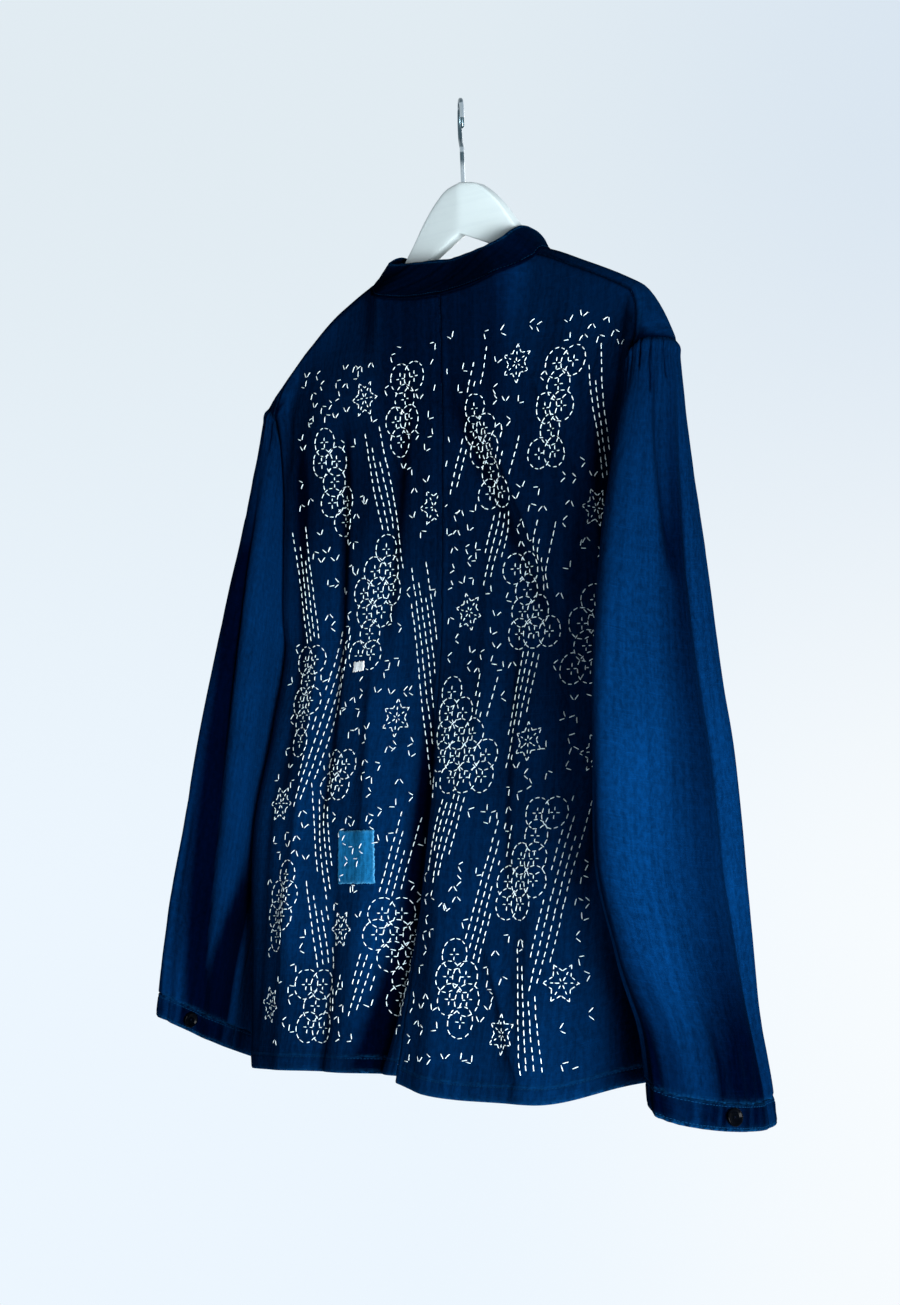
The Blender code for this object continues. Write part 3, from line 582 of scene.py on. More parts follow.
# --- the garment's form ---
class SleeveForm:
    """Outer face of one sleeve; turns are in degrees, 0 outer, 90 back, 180 inner."""

    def __init__(self, side: Side) -> None:
        """Read the sleeve's tables."""
        table = SLEEVES[side]
        self.side = side
        self.creases = SLEEVE_CREASES[side]
        self.centre_x = Track(table, "z", "centre_x")
        self.centre_y = Track(table, "z", "centre_y")
        self.across = Track(table, "z", "across")
        self.deep = Track(table, "z", "deep")
        self.armhole = Track(ARMHOLE, "turn", "z")
        self.seam_turns = np.linspace(180.0, 0.0, 721)
        self.seam_heights = self.armhole.at(self.seam_turns)

    def armhole_z(self, turn: Numbers) -> Numbers:
        """Height of the armhole seam round the sleeve."""
        return self.armhole.at(np.abs((np.asarray(turn) + 180.0) % 360.0 - 180.0))

    def armhole_turn(self, z: Numbers) -> Numbers:
        """Turn of the armhole seam at a height."""
        return np.interp(z, self.seam_heights, self.seam_turns)

    def rim_z(self, turn: Numbers) -> Numbers:
        """Height of the cuff's lower rim round the sleeve."""
        rim = CUFF_RIM[self.side]
        return mix(rim.beyond, rim.height, 0.5 + 0.5 * np.cos(np.radians(turn - rim.turn)))

    def over_creases(self, read: Callable, turn: Numbers, z: Numbers) -> Numbers:
        """Sum over the sleeve's creases, each met from its own side of the round."""
        total = np.zeros(np.broadcast(turn, z).shape)
        for crease in self.creases:
            total = total + read(crease, (turn - crease.top + 180.0) % 360.0 - 180.0 + crease.top, z)
        return total

    def shade(self, turn: Numbers, z: Numbers) -> Numbers:
        """Painted shade in the sleeve's troughs, 0 to 1."""
        return np.clip(self.over_creases(crease_shade, turn, z), 0.0, 1.0)

    def place(self, turn: Numbers, z: Numbers, out: Numbers = 0.0) -> Numbers:
        """Places on the sleeve.

        Args:
            turn: turns round it, in degrees.
            z: heights.
            out: how far outside its face.

        Returns:
            One row of X, Y and Z for each place.
        """
        angle = np.radians(turn)
        push = self.over_creases(crease_height, turn, z) + out
        x = self.centre_x.at(z) + (self.across.at(z) + push) * np.cos(angle)
        y = self.centre_y.at(z) + (self.deep.at(z) + push) * np.sin(angle)
        return points(x * self.side.value, y, z)


class BodyForm:
    """Outer face of the body: columns from the shoulder ridge to the hem.

    A column is named by its lateral share: 0 at the centre plane and 1 at the armhole and side seam.
    """

    def __init__(self) -> None:
        """Read the body's tables."""
        self.sleeves = {side: SleeveForm(side) for side in Side}
        self.ridge = Track(RIDGE, "x", "z")
        self.half_width = Track(BODY, "z", "half_width")
        self.square = Track(BODY, "z", "square")
        self.side_y = Track(BODY, "z", "side")
        self.plan = {Face.BACK: Track(BODY, "z", "back"), Face.FRONT: Track(BODY, "z", "front")}
        self.creases = {Face.BACK: BACK_CREASES, Face.FRONT: FRONT_CREASES}
        self.hem = Track(HEM, "x", "z")
        self.neck = {Face.BACK: Track(NECK, "x", "back_z"), Face.FRONT: Track(NECK, "x", "front_z")}
        self.collar_top = {key: Track(COLLAR_TOP, "turn", key) for key in ("x", "y", "z")}

    def edge(self, side: Side, face: Face, z: Numbers) -> tuple[Numbers, Numbers]:
        """X, from the centre, and Y of a panel's outer edge at heights."""
        sleeve = self.sleeves[side]
        under = sleeve.place(np.array(180.0), np.array(UNDERARM_Z))[1]
        low_y = mix(under, self.side_y.at(z), smooth((UNDERARM_Z - z) / SIDE_SETTLE))
        held = np.clip(z, UNDERARM_Z, sleeve.armhole_z(CAP_TURN))
        seam = sleeve.place(face.value * sleeve.armhole_turn(held), held)
        below = z <= UNDERARM_Z
        x = np.where(below, self.half_width.at(z), np.abs(seam[..., 0]) - ARMHOLE_GAP)
        return x, np.where(below, low_y, seam[..., 1])

    def cap(self, side: Side, angle: Numbers) -> Numbers:
        """Body's edge over the top of the sleeve, by the shoulder roll's angle."""
        sleeve = self.sleeves[side]
        turn = angle * CAP_TURN / 90.0
        lean = np.radians(np.minimum(np.abs(angle), 90.0))
        shift = points(-side.value * np.sin(lean), 0.0, np.cos(lean)) * ARMHOLE_GAP
        return sleeve.place(turn, sleeve.armhole_z(turn)) + shift

    def roll(self, side: Side, lateral: Numbers, angle: Numbers) -> Numbers:
        """Places on the shoulder roll; angle 90 at the back, 0 on the ridge and -90 at the front."""
        turn = np.radians(angle)
        x = SHOULDER_END_X * lateral
        y = RIDGE_Y + ROLL_RADIUS * np.sin(turn)
        z = self.ridge.at(x) - ROLL_RADIUS * (1.0 - np.cos(turn))
        end = smooth((lateral - CAP_START) / (1.0 - CAP_START))
        over = points(x * side.value, y, z)
        return mix(over, self.cap(side, angle), np.broadcast_to(end, over.shape[:-1])[..., None])

    def hang(self, side: Side, face: Face, lateral: Numbers, z: Numbers) -> Numbers:
        """Places on the body below the shoulder roll."""
        start = self.roll(side, lateral, np.array(90.0 * face.value))
        edge_x, edge_y = self.edge(side, face, z)
        square = self.square.at(z)
        bulge = (1.0 - np.minimum(lateral, 1.0) ** square) ** (1.0 / square)
        x = lateral * edge_x * side.value
        y = mix(edge_y, self.plan[face].at(z), bulge)
        folds = sum(crease_height(crease, x, z) for crease in self.creases[face])
        y = y + face.value * folds * np.clip(4.0 * (1.0 - lateral), 0.0, 1.0)
        beyond = lateral * SHOULDER_END_X - (NECK_X - NECK_SETTLE_WIDTH)
        settle = mix(1.0, smooth((start[..., 2] - z) / SETTLE), smooth(beyond / NECK_SETTLE_WIDTH))
        above = np.clip((z - start[..., 2]) / ROLL_RADIUS, 0.0, 1.0)
        rolled = RIDGE_Y + face.value * ROLL_RADIUS * np.sqrt(1.0 - above**2)
        first = np.where(lateral < CAP_START, rolled, start[..., 1])
        return points(x, mix(first, y, np.where(beyond >= 0.0, settle, 1.0)), z)

    def shade(self, face: Face, x: Numbers, z: Numbers) -> Numbers:
        """Painted shade in a panel's troughs, 0 to 1."""
        return np.clip(sum(crease_shade(crease, x, z) for crease in self.creases[face]), 0.0, 1.0)

    def hem_z(self, side: Side, face: Face, lateral: Numbers) -> Numbers:
        """Height of the hem; the front's is level with the side seams."""
        edge = BODY[-1].half_width
        back = self.hem.at(side.value * np.maximum(lateral * edge, HEM_STEP_X))
        level = smooth((lateral - FRONT_HEM_LEVEL) / (1.0 - FRONT_HEM_LEVEL))
        front = mix(FRONT_HEM_Z, self.hem.at(side.value * edge), level)
        return back if face is Face.BACK else front

    def seam_angle(self, lateral: Numbers) -> Numbers:
        """Where the shoulder seam crosses the roll, in degrees behind the ridge."""
        return mix(SEAM_ROLL_ANGLE, 90.0, smooth((lateral - CAP_START) / (1.0 - CAP_START)))

    def neckline(self, side: Side, share: Numbers) -> Numbers:
        """Places round the neckline: share 0 at the centre back, 1 at the centre front."""
        neck = NECK_X / SHOULDER_END_X
        inner = (NECK_X - NECK_NARROWING) / SHOULDER_END_X
        run = np.clip(share / NECK_BACK_SHARE, 0.0, 1.0)
        lateral = neck * np.sin(run * math.pi / 2)
        back = self.hang(side, Face.BACK, lateral, self.neck[Face.BACK].at(lateral * SHOULDER_END_X))
        run = np.clip((share - NECK_BACK_SHARE) / (NECK_FRONT_SHARE - NECK_BACK_SHARE), 0.0, 1.0)
        over = self.roll(side, mix(neck, inner, run), mix(SEAM_ROLL_ANGLE, NECK_FRONT_ANGLE, run))
        run = np.clip((share - NECK_FRONT_SHARE) / (1.0 - NECK_FRONT_SHARE), 0.0, 1.0)
        lateral = inner * np.cos(run * math.pi / 2)
        front = self.hang(side, Face.FRONT, lateral, self.neck[Face.FRONT].at(lateral * SHOULDER_END_X))
        share = np.asarray(share)[..., None]
        return np.where(share < NECK_BACK_SHARE, back, np.where(share < NECK_FRONT_SHARE, over, front))

    def collar(self, across: Numbers, up: Numbers, out: Numbers = 0.0) -> Numbers:
        """Places on the collar.

        Args:
            across: 0 at its left front end, 0.5 at the centre back, 1 at its right front end.
            up: 0 at the neckline, 1 at its top edge.
            out: how far outside its face.

        Returns:
            One row of X, Y and Z for each place.
        """
        share = np.abs(across - 0.5) * 2.0
        left = (across < 0.5)[..., None]
        base = np.where(left, self.neckline(Side.LEFT, share), self.neckline(Side.RIGHT, share))
        turn = share * 180.0
        sign = np.where(across < 0.5, 1.0, -1.0)
        x = self.collar_top["x"].at(turn) * sign
        top = points(x, self.collar_top["y"].at(turn), self.collar_top["z"].at(turn))
        rise = top - base
        base = base + rise / np.linalg.norm(rise, axis=-1, keepdims=True) * COLLAR_GAP
        place = mix(base, top, up[..., None])
        inward = points(-place[..., 0], -COLLAR_BACK_OFFSET - place[..., 1], 0.0)
        inward = inward / np.linalg.norm(inward, axis=-1, keepdims=True)
        place = place + inward * (np.sin(up * math.pi) * COLLAR_LEAN - out)[..., None]
        closed = np.where(across < 0.5, 1.0, -1.0) * np.maximum(place[..., 0] * sign, COLLAR_END_GAP)
        place[..., 0] = np.where(share > COLLAR_END_SHARE, closed, place[..., 0])
        return place


# --- sheets ---
def crowd(count: int, start: float = 1.0, end: float = 1.0) -> Numbers:
    """Shares from 0 to 1 that lie closer together at an end whose power is above 1."""
    even = np.linspace(0.0, 1.0, count + 1)
    early = even**start
    late = 1.0 - (1.0 - even) ** end
    return mix(early, late, even)


def ripple(along: Numbers, length: float, seed: float) -> Numbers:
    """Uneven wave from -1 to 1 with about the length given."""
    pace = 2.0 * math.pi / length
    long = np.sin(along * pace * 0.61 + 5.0 * seed)
    short = np.sin(along * pace * 1.73 + 2.7 * seed)
    return 0.5 * np.sin(along * pace + seed + 1.3 * long) + 0.3 * short + 0.2 * long


def limp(u: Numbers, v: Numbers, seed: float) -> Numbers:
    """Low unevenness of worn cloth, longer down the cloth than across it, in metres."""
    broad = ripple(u + 0.02 * ripple(v, 0.31, seed + 1.0), 0.064, seed) * ripple(v, 0.42, seed + 2.0)
    fine = ripple(u + 0.012 * ripple(v, 0.11, seed + 3.0), 0.023, seed + 4.0) * ripple(v, 0.13, seed + 5.0)
    return 0.0012 * broad + 0.00035 * fine


def surface_normals(grid: Numbers, outward: Numbers) -> Numbers:
    """Unit normals of a grid of places, turned to the side that outward gives."""
    across = np.gradient(grid, axis=1)
    down = np.gradient(grid, axis=0)
    normal = np.cross(across, down)
    normal = normal / np.maximum(np.linalg.norm(normal, axis=-1, keepdims=True), 1e-12)
    sign = np.sign(np.sum(normal * outward))
    return normal * (sign if sign != 0.0 else 1.0)


def run_lengths(grid: Numbers, axis: int) -> Numbers:
    """Distance along a grid's lines from their first place."""
    steps = np.linalg.norm(np.diff(grid, axis=axis), axis=-1)
    start = np.zeros_like(np.take(steps, [0], axis=axis))
    return np.concatenate([start, np.cumsum(steps, axis=axis)], axis=axis)


@dataclass
class Sheet:
    """Grid of places on one cloth piece, with what its mesh needs to know.

    places, u, v, wear and dye share one shape, a row for each line across the cloth. u and v are distances
    on the cloth in metres; wear is 1 along edges that rub and 0 inside; dye, which also holds the painted
    shade, is 1 where it is darkest.
    """

    name: str
    places: Numbers
    outward: Numbers
    wear: Numbers
    dye: Numbers
    wrap: bool = False
    u: Numbers = field(init=False)
    v: Numbers = field(init=False)

    def __post_init__(self) -> None:
        """Measure the cloth along its lines."""
        middle = self.places.shape[0] // 2
        across = run_lengths(self.places[middle : middle + 1], 1)
        self.u = np.broadcast_to(across, self.places.shape[:2]).copy()
        self.v = run_lengths(self.places[::-1], 0)[::-1]

    def raised(self, height: Numbers) -> "Sheet":
        """Move every place out by a height and return the sheet."""
        normal = surface_normals(self.places, self.outward)
        self.places = self.places + normal * np.broadcast_to(height, self.u.shape)[..., None]
        return self

    def mesh(self) -> bpy.types.Mesh:
        """Mesh of the sheet with its cloth map, its wear and faces that look outwards."""
        rows, columns = self.u.shape
        bm = bmesh.new()
        bmesh.ops.create_grid(bm, x_segments=columns - 1, y_segments=rows - 1, size=0.5)
        mesh = mesh_of(bm, self.name)
        flat = np.empty(len(mesh.vertices) * 3)
        mesh.vertices.foreach_get("co", flat)
        flat = flat.reshape(-1, 3)
        column = np.rint((flat[:, 0] + 0.5) * (columns - 1)).astype(int)
        row = np.rint((0.5 - flat[:, 1]) * (rows - 1)).astype(int)
        mesh.vertices.foreach_set("co", self.places[row, column].ravel())
        corner = np.empty(len(mesh.loops), dtype=int)
        mesh.loops.foreach_get("vertex_index", corner)
        cloth = np.stack([self.u[row, column], self.v[row, column]], axis=-1)
        layer = mesh.uv_layers.new(name="cloth")
        layer.data.foreach_set("uv", cloth[corner].ravel())
        for name, values in (("wear", self.wear), ("dye", self.dye)):
            layer = mesh.attributes.new(name, "FLOAT", "POINT")
            held = np.clip(np.broadcast_to(values, self.u.shape), 0.0, 1.0)
            layer.data.foreach_set("value", held[row, column])
        self.finish_faces(mesh)
        return mesh

    def finish_faces(self, mesh: bpy.types.Mesh) -> None:
        """Close a wrapped sheet and turn its faces outwards."""
        bm = bmesh.new()
        bm.from_mesh(mesh)
        if self.wrap:
            bmesh.ops.remove_doubles(bm, verts=bm.verts, dist=MERGE)
        bm.normal_update()
        spot = (self.places.shape[0] // 2, self.places.shape[1] // 3)
        sample = self.places[spot]
        want = np.broadcast_to(self.outward, self.places.shape)[spot]
        near = min(bm.faces, key=lambda face: (face.calc_center_median() - Vector(sample)).length)
        if near.normal.dot(Vector(want)) < 0.0:
            bmesh.ops.reverse_faces(bm, faces=bm.faces)
        bm.to_mesh(mesh)
        bm.free()
        mesh.shade_smooth()


def mesh_of(bm: bmesh.types.BMesh, name: str) -> bpy.types.Mesh:
    """Mesh with the faces of a bmesh, which is freed."""
    mesh = bpy.data.meshes.new(name)
    bm.to_mesh(mesh)
    bm.free()
    return mesh


def place_object(name: str, mesh: bpy.types.Mesh, finish: bpy.types.Material) -> bpy.types.Object:
    """Put a mesh into the scene as one piece with its finish."""
    mesh.materials.append(finish)
    piece = bpy.data.objects.new(name, mesh)
    bpy.context.collection.objects.link(piece)
    return piece


def cloth_object(sheet: Sheet, finish: bpy.types.Material, thickness: float = CLOTH) -> bpy.types.Object:
    """Put a sheet into the scene as a thin shell inside its outer face."""
    piece = place_object(sheet.name + "_cloth", sheet.mesh(), finish)
    shell = piece.modifiers.new("cloth", "SOLIDIFY")
    shell.thickness = thickness
    shell.offset = -1.0
    shell.use_rim = True
    return piece


# --- threads ---
@dataclass
class Stitches:
    """Many short stitches that become one mesh.

    proud, bow and level are shares of the thread's thickness: how far its middle stands off the cloth, how
    high it bows, and the height of the bow that lies on its middle.
    """

    name: str
    width: float
    thick: float
    proud: float = 0.32
    bow: float = 0.4
    level: float = 0.65
    starts: list = field(default_factory=list)
    ends: list = field(default_factory=list)
    normals: list = field(default_factory=list)

    def add(self, starts: Numbers, ends: Numbers, normals: Numbers) -> None:
        """Add stitches by the rows of their two ends and the cloth's normals there."""
        self.starts.append(np.asarray(starts))
        self.ends.append(np.asarray(ends))
        self.normals.append(np.asarray(normals))

    def grain(self) -> tuple[Numbers, list]:
        """Vertices and faces of one stitch: a slim closed bead, 1 long, 1 wide and 1 thick."""
        bm = bmesh.new()
        bmesh.ops.create_uvsphere(bm, u_segments=6, v_segments=6, radius=0.5)
        shaped = []
        for vert in bm.verts:
            long = math.copysign(0.5 * abs(2.0 * vert.co.z) ** 0.8, vert.co.z)
            blunt = (1.0 - abs(2.0 * long) ** 3.0) ** (1.0 / 3.0)
            round_share = math.hypot(vert.co.x, vert.co.y)
            scale = 0.5 * blunt / round_share if round_share > 1e-6 else 0.0
            shaped.append((long, vert.co.x * scale, vert.co.y * scale))
        faces = [[vert.index for vert in face.verts] for face in bm.faces]
        bm.free()
        return np.array(shaped), faces

    def build(self, finish: bpy.types.Material) -> bpy.types.Object:
        """Lay every stitch on the cloth and join them into one piece."""
        starts = np.concatenate(self.starts)
        ends = np.concatenate(self.ends)
        normal = np.concatenate(self.normals)
        along = ends - starts
        length = np.linalg.norm(along, axis=-1, keepdims=True)
        along = along / length
        normal = normal - along * np.sum(normal * along, axis=-1, keepdims=True)
        normal = normal / np.linalg.norm(normal, axis=-1, keepdims=True)
        across = np.cross(normal, along)
        shape, faces = self.grain()
        middle = (starts + ends) / 2 + normal * self.thick * self.proud
        bow = 1.0 - (2.0 * shape[:, 0]) ** 2
        rise = (shape[:, 2] + (bow - self.level) * self.bow) * self.thick
        placed = (
            middle[:, None]
            + along[:, None] * (shape[:, 0][None, :, None] * length[:, None])
            + across[:, None] * (shape[:, 1] * self.width)[None, :, None]
            + normal[:, None] * rise[None, :, None]
        )
        count = len(starts)
        size = len(shape)
        corners = [[index + size * n for index in face] for n in range(count) for face in faces]
        mesh = bpy.data.meshes.new(self.name)
        mesh.from_pydata(placed.reshape(-1, 3), [], corners)
        mesh.shade_smooth()
        LOG.info("%s: %d stitches", self.name, count)
        return place_object(self.name, mesh, finish)


def stitch_line(
    route: Numbers, normals: Numbers, stitch: float, gap: float
) -> tuple[Numbers, Numbers, Numbers]:
    """Cut a route into stitches.

    Args:
        route: places along the seam, a row each.
        normals: the cloth's normals there.
        stitch: length of a stitch.
        gap: length of cloth between two stitches.

    Returns:
        Starts, ends and normals of the stitches, a row each.
    """
    steps = np.linalg.norm(np.diff(route, axis=0), axis=-1)
    run = np.concatenate([[0.0], np.cumsum(steps)])
    begin = np.arange(gap / 2, run[-1] - stitch, stitch + gap)

    def along(distance: Numbers, rows: Numbers) -> Numbers:
        """Rows read at distances along the route."""
        return np.stack([np.interp(distance, run, rows[:, k]) for k in range(3)], axis=-1)

    return along(begin, route), along(begin + stitch, route), along(begin + stitch / 2, normals)


# --- finishes ---
Colour = tuple[float, float, float, float]
Socket = bpy.types.NodeSocket
Stretch = tuple[float, float, float]
Tint = tuple[float, float, float]

# repeats a metre along each axis
WEFT_SLUBS: Stretch = (28.0, 900.0, 1.0)
WARP_SLUBS: Stretch = (800.0, 14.0, 1.0)
STREAKS: Stretch = (170.0, 5.0, 1.0)
BLOTCHES: Stretch = (300.0, 150.0, 1.0)
RUB_BREAKS: Stretch = (260.0, 420.0, 1.0)
WOOD_GRAIN: Stretch = (9.0, 160.0, 260.0)
# patches of the painted dark reflection on the hook's round
WIRE_REFLECTION_PATCHES: Stretch = (30.0, 30.0, 130.0)
YARN_GRAIN = 1400.0
CLOUDS = 9.0
THREAD_STRANDS = 1800.0
THREAD_UNEVEN = 90.0
WOOD_SCUFFS = 34.0
WIRE_MARKS = 240.0
RESIN_MARKS = 900.0
FLOOR_CLOUDS = 1.2


class Graph:
    """Node tree that is filled a node at a time."""

    def __init__(self, tree: bpy.types.NodeTree) -> None:
        """Keep the tree."""
        self.tree = tree

    def add(self, kind: str, **settings: object) -> bpy.types.Node:
        """Add a node of a kind with its settings."""
        node = self.tree.nodes.new(kind)
        for name, value in settings.items():
            setattr(node, name, value)
        return node

    def feed(self, node: bpy.types.Node, values: dict[str | int, object]) -> bpy.types.Node:
        """Give a node's inputs their values, or link them from outputs, and return the node."""
        for socket, value in values.items():
            if isinstance(value, bpy.types.NodeSocket):
                self.tree.links.new(value, node.inputs[socket])
            else:
                node.inputs[socket].default_value = value
        return node

    def maths(self, operation: str, a: object, b: object = 0.0, clamp: bool = False) -> Socket:
        """Result of one sum on two values."""
        node = self.add("ShaderNodeMath", operation=operation, use_clamp=clamp)
        return self.feed(node, {0: a, 1: b}).outputs[0]

    def plus(self, start: object, value: object, share: float, clamp: bool = False) -> Socket:
        """A value's share added to a start."""
        return self.maths("ADD", start, self.maths("MULTIPLY", value, share), clamp)

    def blend(self, factor: object, a: object, b: object) -> Socket:
        """Colour between two colours."""
        node = self.add("ShaderNodeMix", data_type="RGBA")
        return self.feed(node, {"Factor": factor, 6: a, 7: b}).outputs[2]

    def spread(
        self, value: object, low: float, high: float, to_low: float = 0.0, to_high: float = 1.0
    ) -> Socket:
        """Value carried smoothly from one range to another."""
        node = self.add("ShaderNodeMapRange", interpolation_type="SMOOTHSTEP")
        ends = {"Value": value, "From Min": low, "From Max": high, "To Min": to_low, "To Max": to_high}
        return self.feed(node, ends).outputs["Result"]

    def noise(
        self, vector: Socket, scale: float | Stretch, detail: float = 2.0, rough: float = 0.5
    ) -> Socket:
        """Soft noise, 0 to 1.

        Args:
            vector: coordinates it is read by.
            scale: repeats a metre, the same every way or one number for each axis.
            detail: how many finer layers it has.
            rough: share of the finer layers.

        Returns:
            Its value.
        """
        if isinstance(scale, tuple):
            stretched = self.add("ShaderNodeMapping")
            vector = self.feed(stretched, {"Vector": vector, "Scale": scale}).outputs["Vector"]
            scale = 1.0
        node = self.add("ShaderNodeTexNoise", noise_dimensions="3D")
        look = {"Vector": vector, "Scale": scale, "Detail": detail, "Roughness": rough}
        return self.feed(node, look).outputs["Fac"]

    def axis(self, vector: Socket, name: str) -> Socket:
        """One axis of a vector."""
        return self.feed(self.add("ShaderNodeSeparateXYZ"), {0: vector}).outputs[name]


class Surface:
    """Material being made: its graph, its shader and the coordinates it reads."""

    def __init__(self, name: str) -> None:
        """Start the material."""
        self.made = bpy.data.materials.new(name)
        self.made.use_nodes = True
        self.graph = Graph(self.made.node_tree)
        self.shader = self.made.node_tree.nodes["Principled BSDF"]
        where = self.graph.add("ShaderNodeTexCoord")
        self.place = where.outputs["Object"]
        self.cloth = where.outputs["UV"]

    def bump(self, height: Socket, strength: float, distance: float) -> None:
        """Raise the surface by a height."""
        node = self.graph.add("ShaderNodeBump")
        self.graph.feed(node, {"Strength": strength, "Distance": distance, "Height": height})
        self.graph.feed(self.shader, {"Normal": node.outputs["Normal"]})

    def dressed(self, values: dict[str, object]) -> bpy.types.Material:
        """Feed the shader and return the material."""
        self.graph.feed(self.shader, values)
        return self.made


def new_group(
    name: str, inputs: dict[str, str], outputs: tuple[str, ...]
) -> tuple[Graph, bpy.types.NodeOutputs, bpy.types.Node]:
    """Empty node group.

    Args:
        name: the group's name.
        inputs: socket type for each input's name.
        outputs: names of its outputs, which are all plain values.

    Returns:
        Its graph, what comes in, and its output node.
    """
    tree = bpy.data.node_groups.new(name, "ShaderNodeTree")
    for way, sockets in (("INPUT", inputs), ("OUTPUT", dict.fromkeys(outputs, "Float"))):
        for socket, kind in sockets.items():
            tree.interface.new_socket(socket, in_out=way, socket_type="NodeSocket" + kind)
    graph = Graph(tree)
    return graph, graph.add("NodeGroupInput").outputs, graph.add("NodeGroupOutput")


def weave_group() -> bpy.types.NodeTree:
    """Plain weave with slubs: height for a bump, and a tone of light and dark yarns."""
    inputs = {"Cloth": "Vector", "Pitch": "Float", "Slub": "Float"}
    graph, given, made = new_group("plain weave", inputs, ("Height", "Tone"))
    cloth = given["Cloth"]
    turns = graph.maths("DIVIDE", 2.0 * math.pi, given["Pitch"])
    apart = graph.feed(graph.add("ShaderNodeSeparateXYZ"), {0: cloth}).outputs
    warp, weft = (graph.maths("SINE", graph.maths("MULTIPLY", apart[key], turns)) for key in ("X", "Y"))
    check = graph.maths("MULTIPLY", warp, weft)
    weft_slubs = graph.spread(graph.noise(cloth, WEFT_SLUBS), 0.50, 0.78)
    warp_slubs = graph.spread(graph.noise(cloth, WARP_SLUBS), 0.52, 0.8)
    slubs = graph.maths("MULTIPLY", graph.plus(weft_slubs, warp_slubs, 0.6), given["Slub"])
    grain = graph.maths("SUBTRACT", graph.noise(cloth, YARN_GRAIN, 1.0), 0.5)
    height = graph.maths("ADD", graph.maths("MULTIPLY", check, 0.35), slubs)
    graph.feed(made, {"Height": height, "Tone": graph.plus(slubs, grain, 0.9)})
    return graph.tree


def wash_group() -> bpy.types.NodeTree:
    """Unevenness of a vat dye after many washes: clouds, long streaks and small blotches, -1 to 1."""
    inputs = {"Place": "Vector", "Cloth": "Vector"}
    graph, given, made = new_group("washed dye", inputs, ("Cloud", "Streak", "Blotch"))
    cloud = graph.noise(given["Place"], CLOUDS, 3.0, 0.55)
    streak = graph.noise(given["Cloth"], STREAKS)
    blotch = graph.noise(given["Cloth"], BLOTCHES, 4.0, 0.62)
    for name, value, low in (("Cloud", cloud, 0.3), ("Streak", streak, 0.3), ("Blotch", blotch, 0.32)):
        graph.feed(made, {name: graph.spread(value, low, 1.0 - low, -1.0, 1.0)})
    return graph.tree


def rub_group() -> bpy.types.NodeTree:
    """Rubbed edges: a broken mask from a piece's wear."""
    graph, given, made = new_group("rubbed edge", {"Wear": "Float", "Cloth": "Vector"}, ("Mask",))
    broken = graph.spread(graph.noise(given["Cloth"], RUB_BREAKS, 3.0, 0.6), 0.32, 0.66)
    graph.feed(made, {"Mask": graph.maths("MULTIPLY", given["Wear"], broken)})
    return graph.tree


class Groups:
    """The node groups that more than one finish uses."""

    def __init__(self) -> None:
        """Build each group once."""
        self.weave = weave_group()
        self.wash = wash_group()
        self.rub = rub_group()


@dataclass(frozen=True)
class ClothFinish:
    """Dyed cotton cloth: its colours at the darkest and lightest dye and painted shade, and where it is
    rubbed.
    """

    name: str
    deep: Colour
    light: Colour
    rubbed: Colour
    pitch: float = 0.0011
    slub: float = 0.5
    yarn: float = 0.55
    level: float = 0.88
    cloud: float = 0.13
    blotch: float = 0.20
    roughness: float = 0.9
    gloss: float = 0.0
    sheen: float = 0.01
    sheen_roughness: float = 0.45
    sheen_tint: Colour = (0.02, 0.35, 1.0, 1.0)
    bump: float = 0.5
    bump_depth: float = 0.0004

    def dress(self, groups: Groups) -> bpy.types.Material:
        """Material of the cloth."""
        surface = Surface(self.name)
        graph = surface.graph
        wear = graph.add("ShaderNodeAttribute", attribute_name="wear").outputs["Fac"]
        # the dye attribute holds the dye and the painted shade laid into it
        dye = graph.add("ShaderNodeAttribute", attribute_name="dye").outputs["Fac"]
        given = (
            (groups.weave, {"Pitch": self.pitch, "Slub": self.slub}),
            (groups.wash, {"Place": surface.place}),
            (groups.rub, {"Wear": wear}),
        )
        weave, wash, rub = (
            graph.feed(graph.add("ShaderNodeGroup", node_tree=tree), {"Cloth": surface.cloth} | own).outputs
            for tree, own in given
        )
        tone = graph.plus(self.level, weave["Tone"], self.yarn)
        for name, share in (("Cloud", self.cloud), ("Streak", self.cloud), ("Blotch", self.blotch)):
            tone = graph.plus(tone, wash[name], share)
        scaled = graph.add("ShaderNodeVectorMath", operation="SCALE")
        graph.feed(scaled, {0: graph.blend(dye, self.light, self.deep), "Scale": tone})
        surface.bump(weave["Height"], self.bump, self.bump_depth)
        return surface.dressed(
            {
                "Base Color": graph.blend(rub["Mask"], scaled.outputs[0], self.rubbed),
                "Roughness": self.roughness,
                "Specular IOR Level": self.gloss,
                "Specular Tint": self.sheen_tint,
                "Sheen Weight": self.sheen,
                "Sheen Roughness": self.sheen_roughness,
                "Sheen Tint": self.sheen_tint,
            }
        )


@dataclass(frozen=True)
class TwoTone:
    """Finish of two colours that a pattern runs between."""

    name: str
    colour: Colour
    shade: Colour


@dataclass(frozen=True)
class ThreadFinish(TwoTone):
    """Cotton thread: strands that turn round the stitch."""

    strands: float = 0.7
    uneven: float = 0.5
    roughness: float = 0.7
    gloss: float = 0.3
    sheen: float = 0.1
    bump: float = 0.4
    bump_depth: float = 0.0001

    def dress(self) -> bpy.types.Material:
        """Material of the thread."""
        surface = Surface(self.name)
        graph = surface.graph
        strands = graph.noise(surface.place, THREAD_STRANDS)
        uneven = graph.noise(surface.place, THREAD_UNEVEN, 1.0)
        tone = graph.plus(graph.maths("MULTIPLY", strands, self.strands), uneven, self.uneven, clamp=True)
        surface.bump(strands, self.bump, self.bump_depth)
        return surface.dressed(
            {
                "Base Color": graph.blend(tone, self.shade, self.colour),
                "Roughness": self.roughness,
                "Specular IOR Level": self.gloss,
                "Sheen Weight": self.sheen,
            }
        )


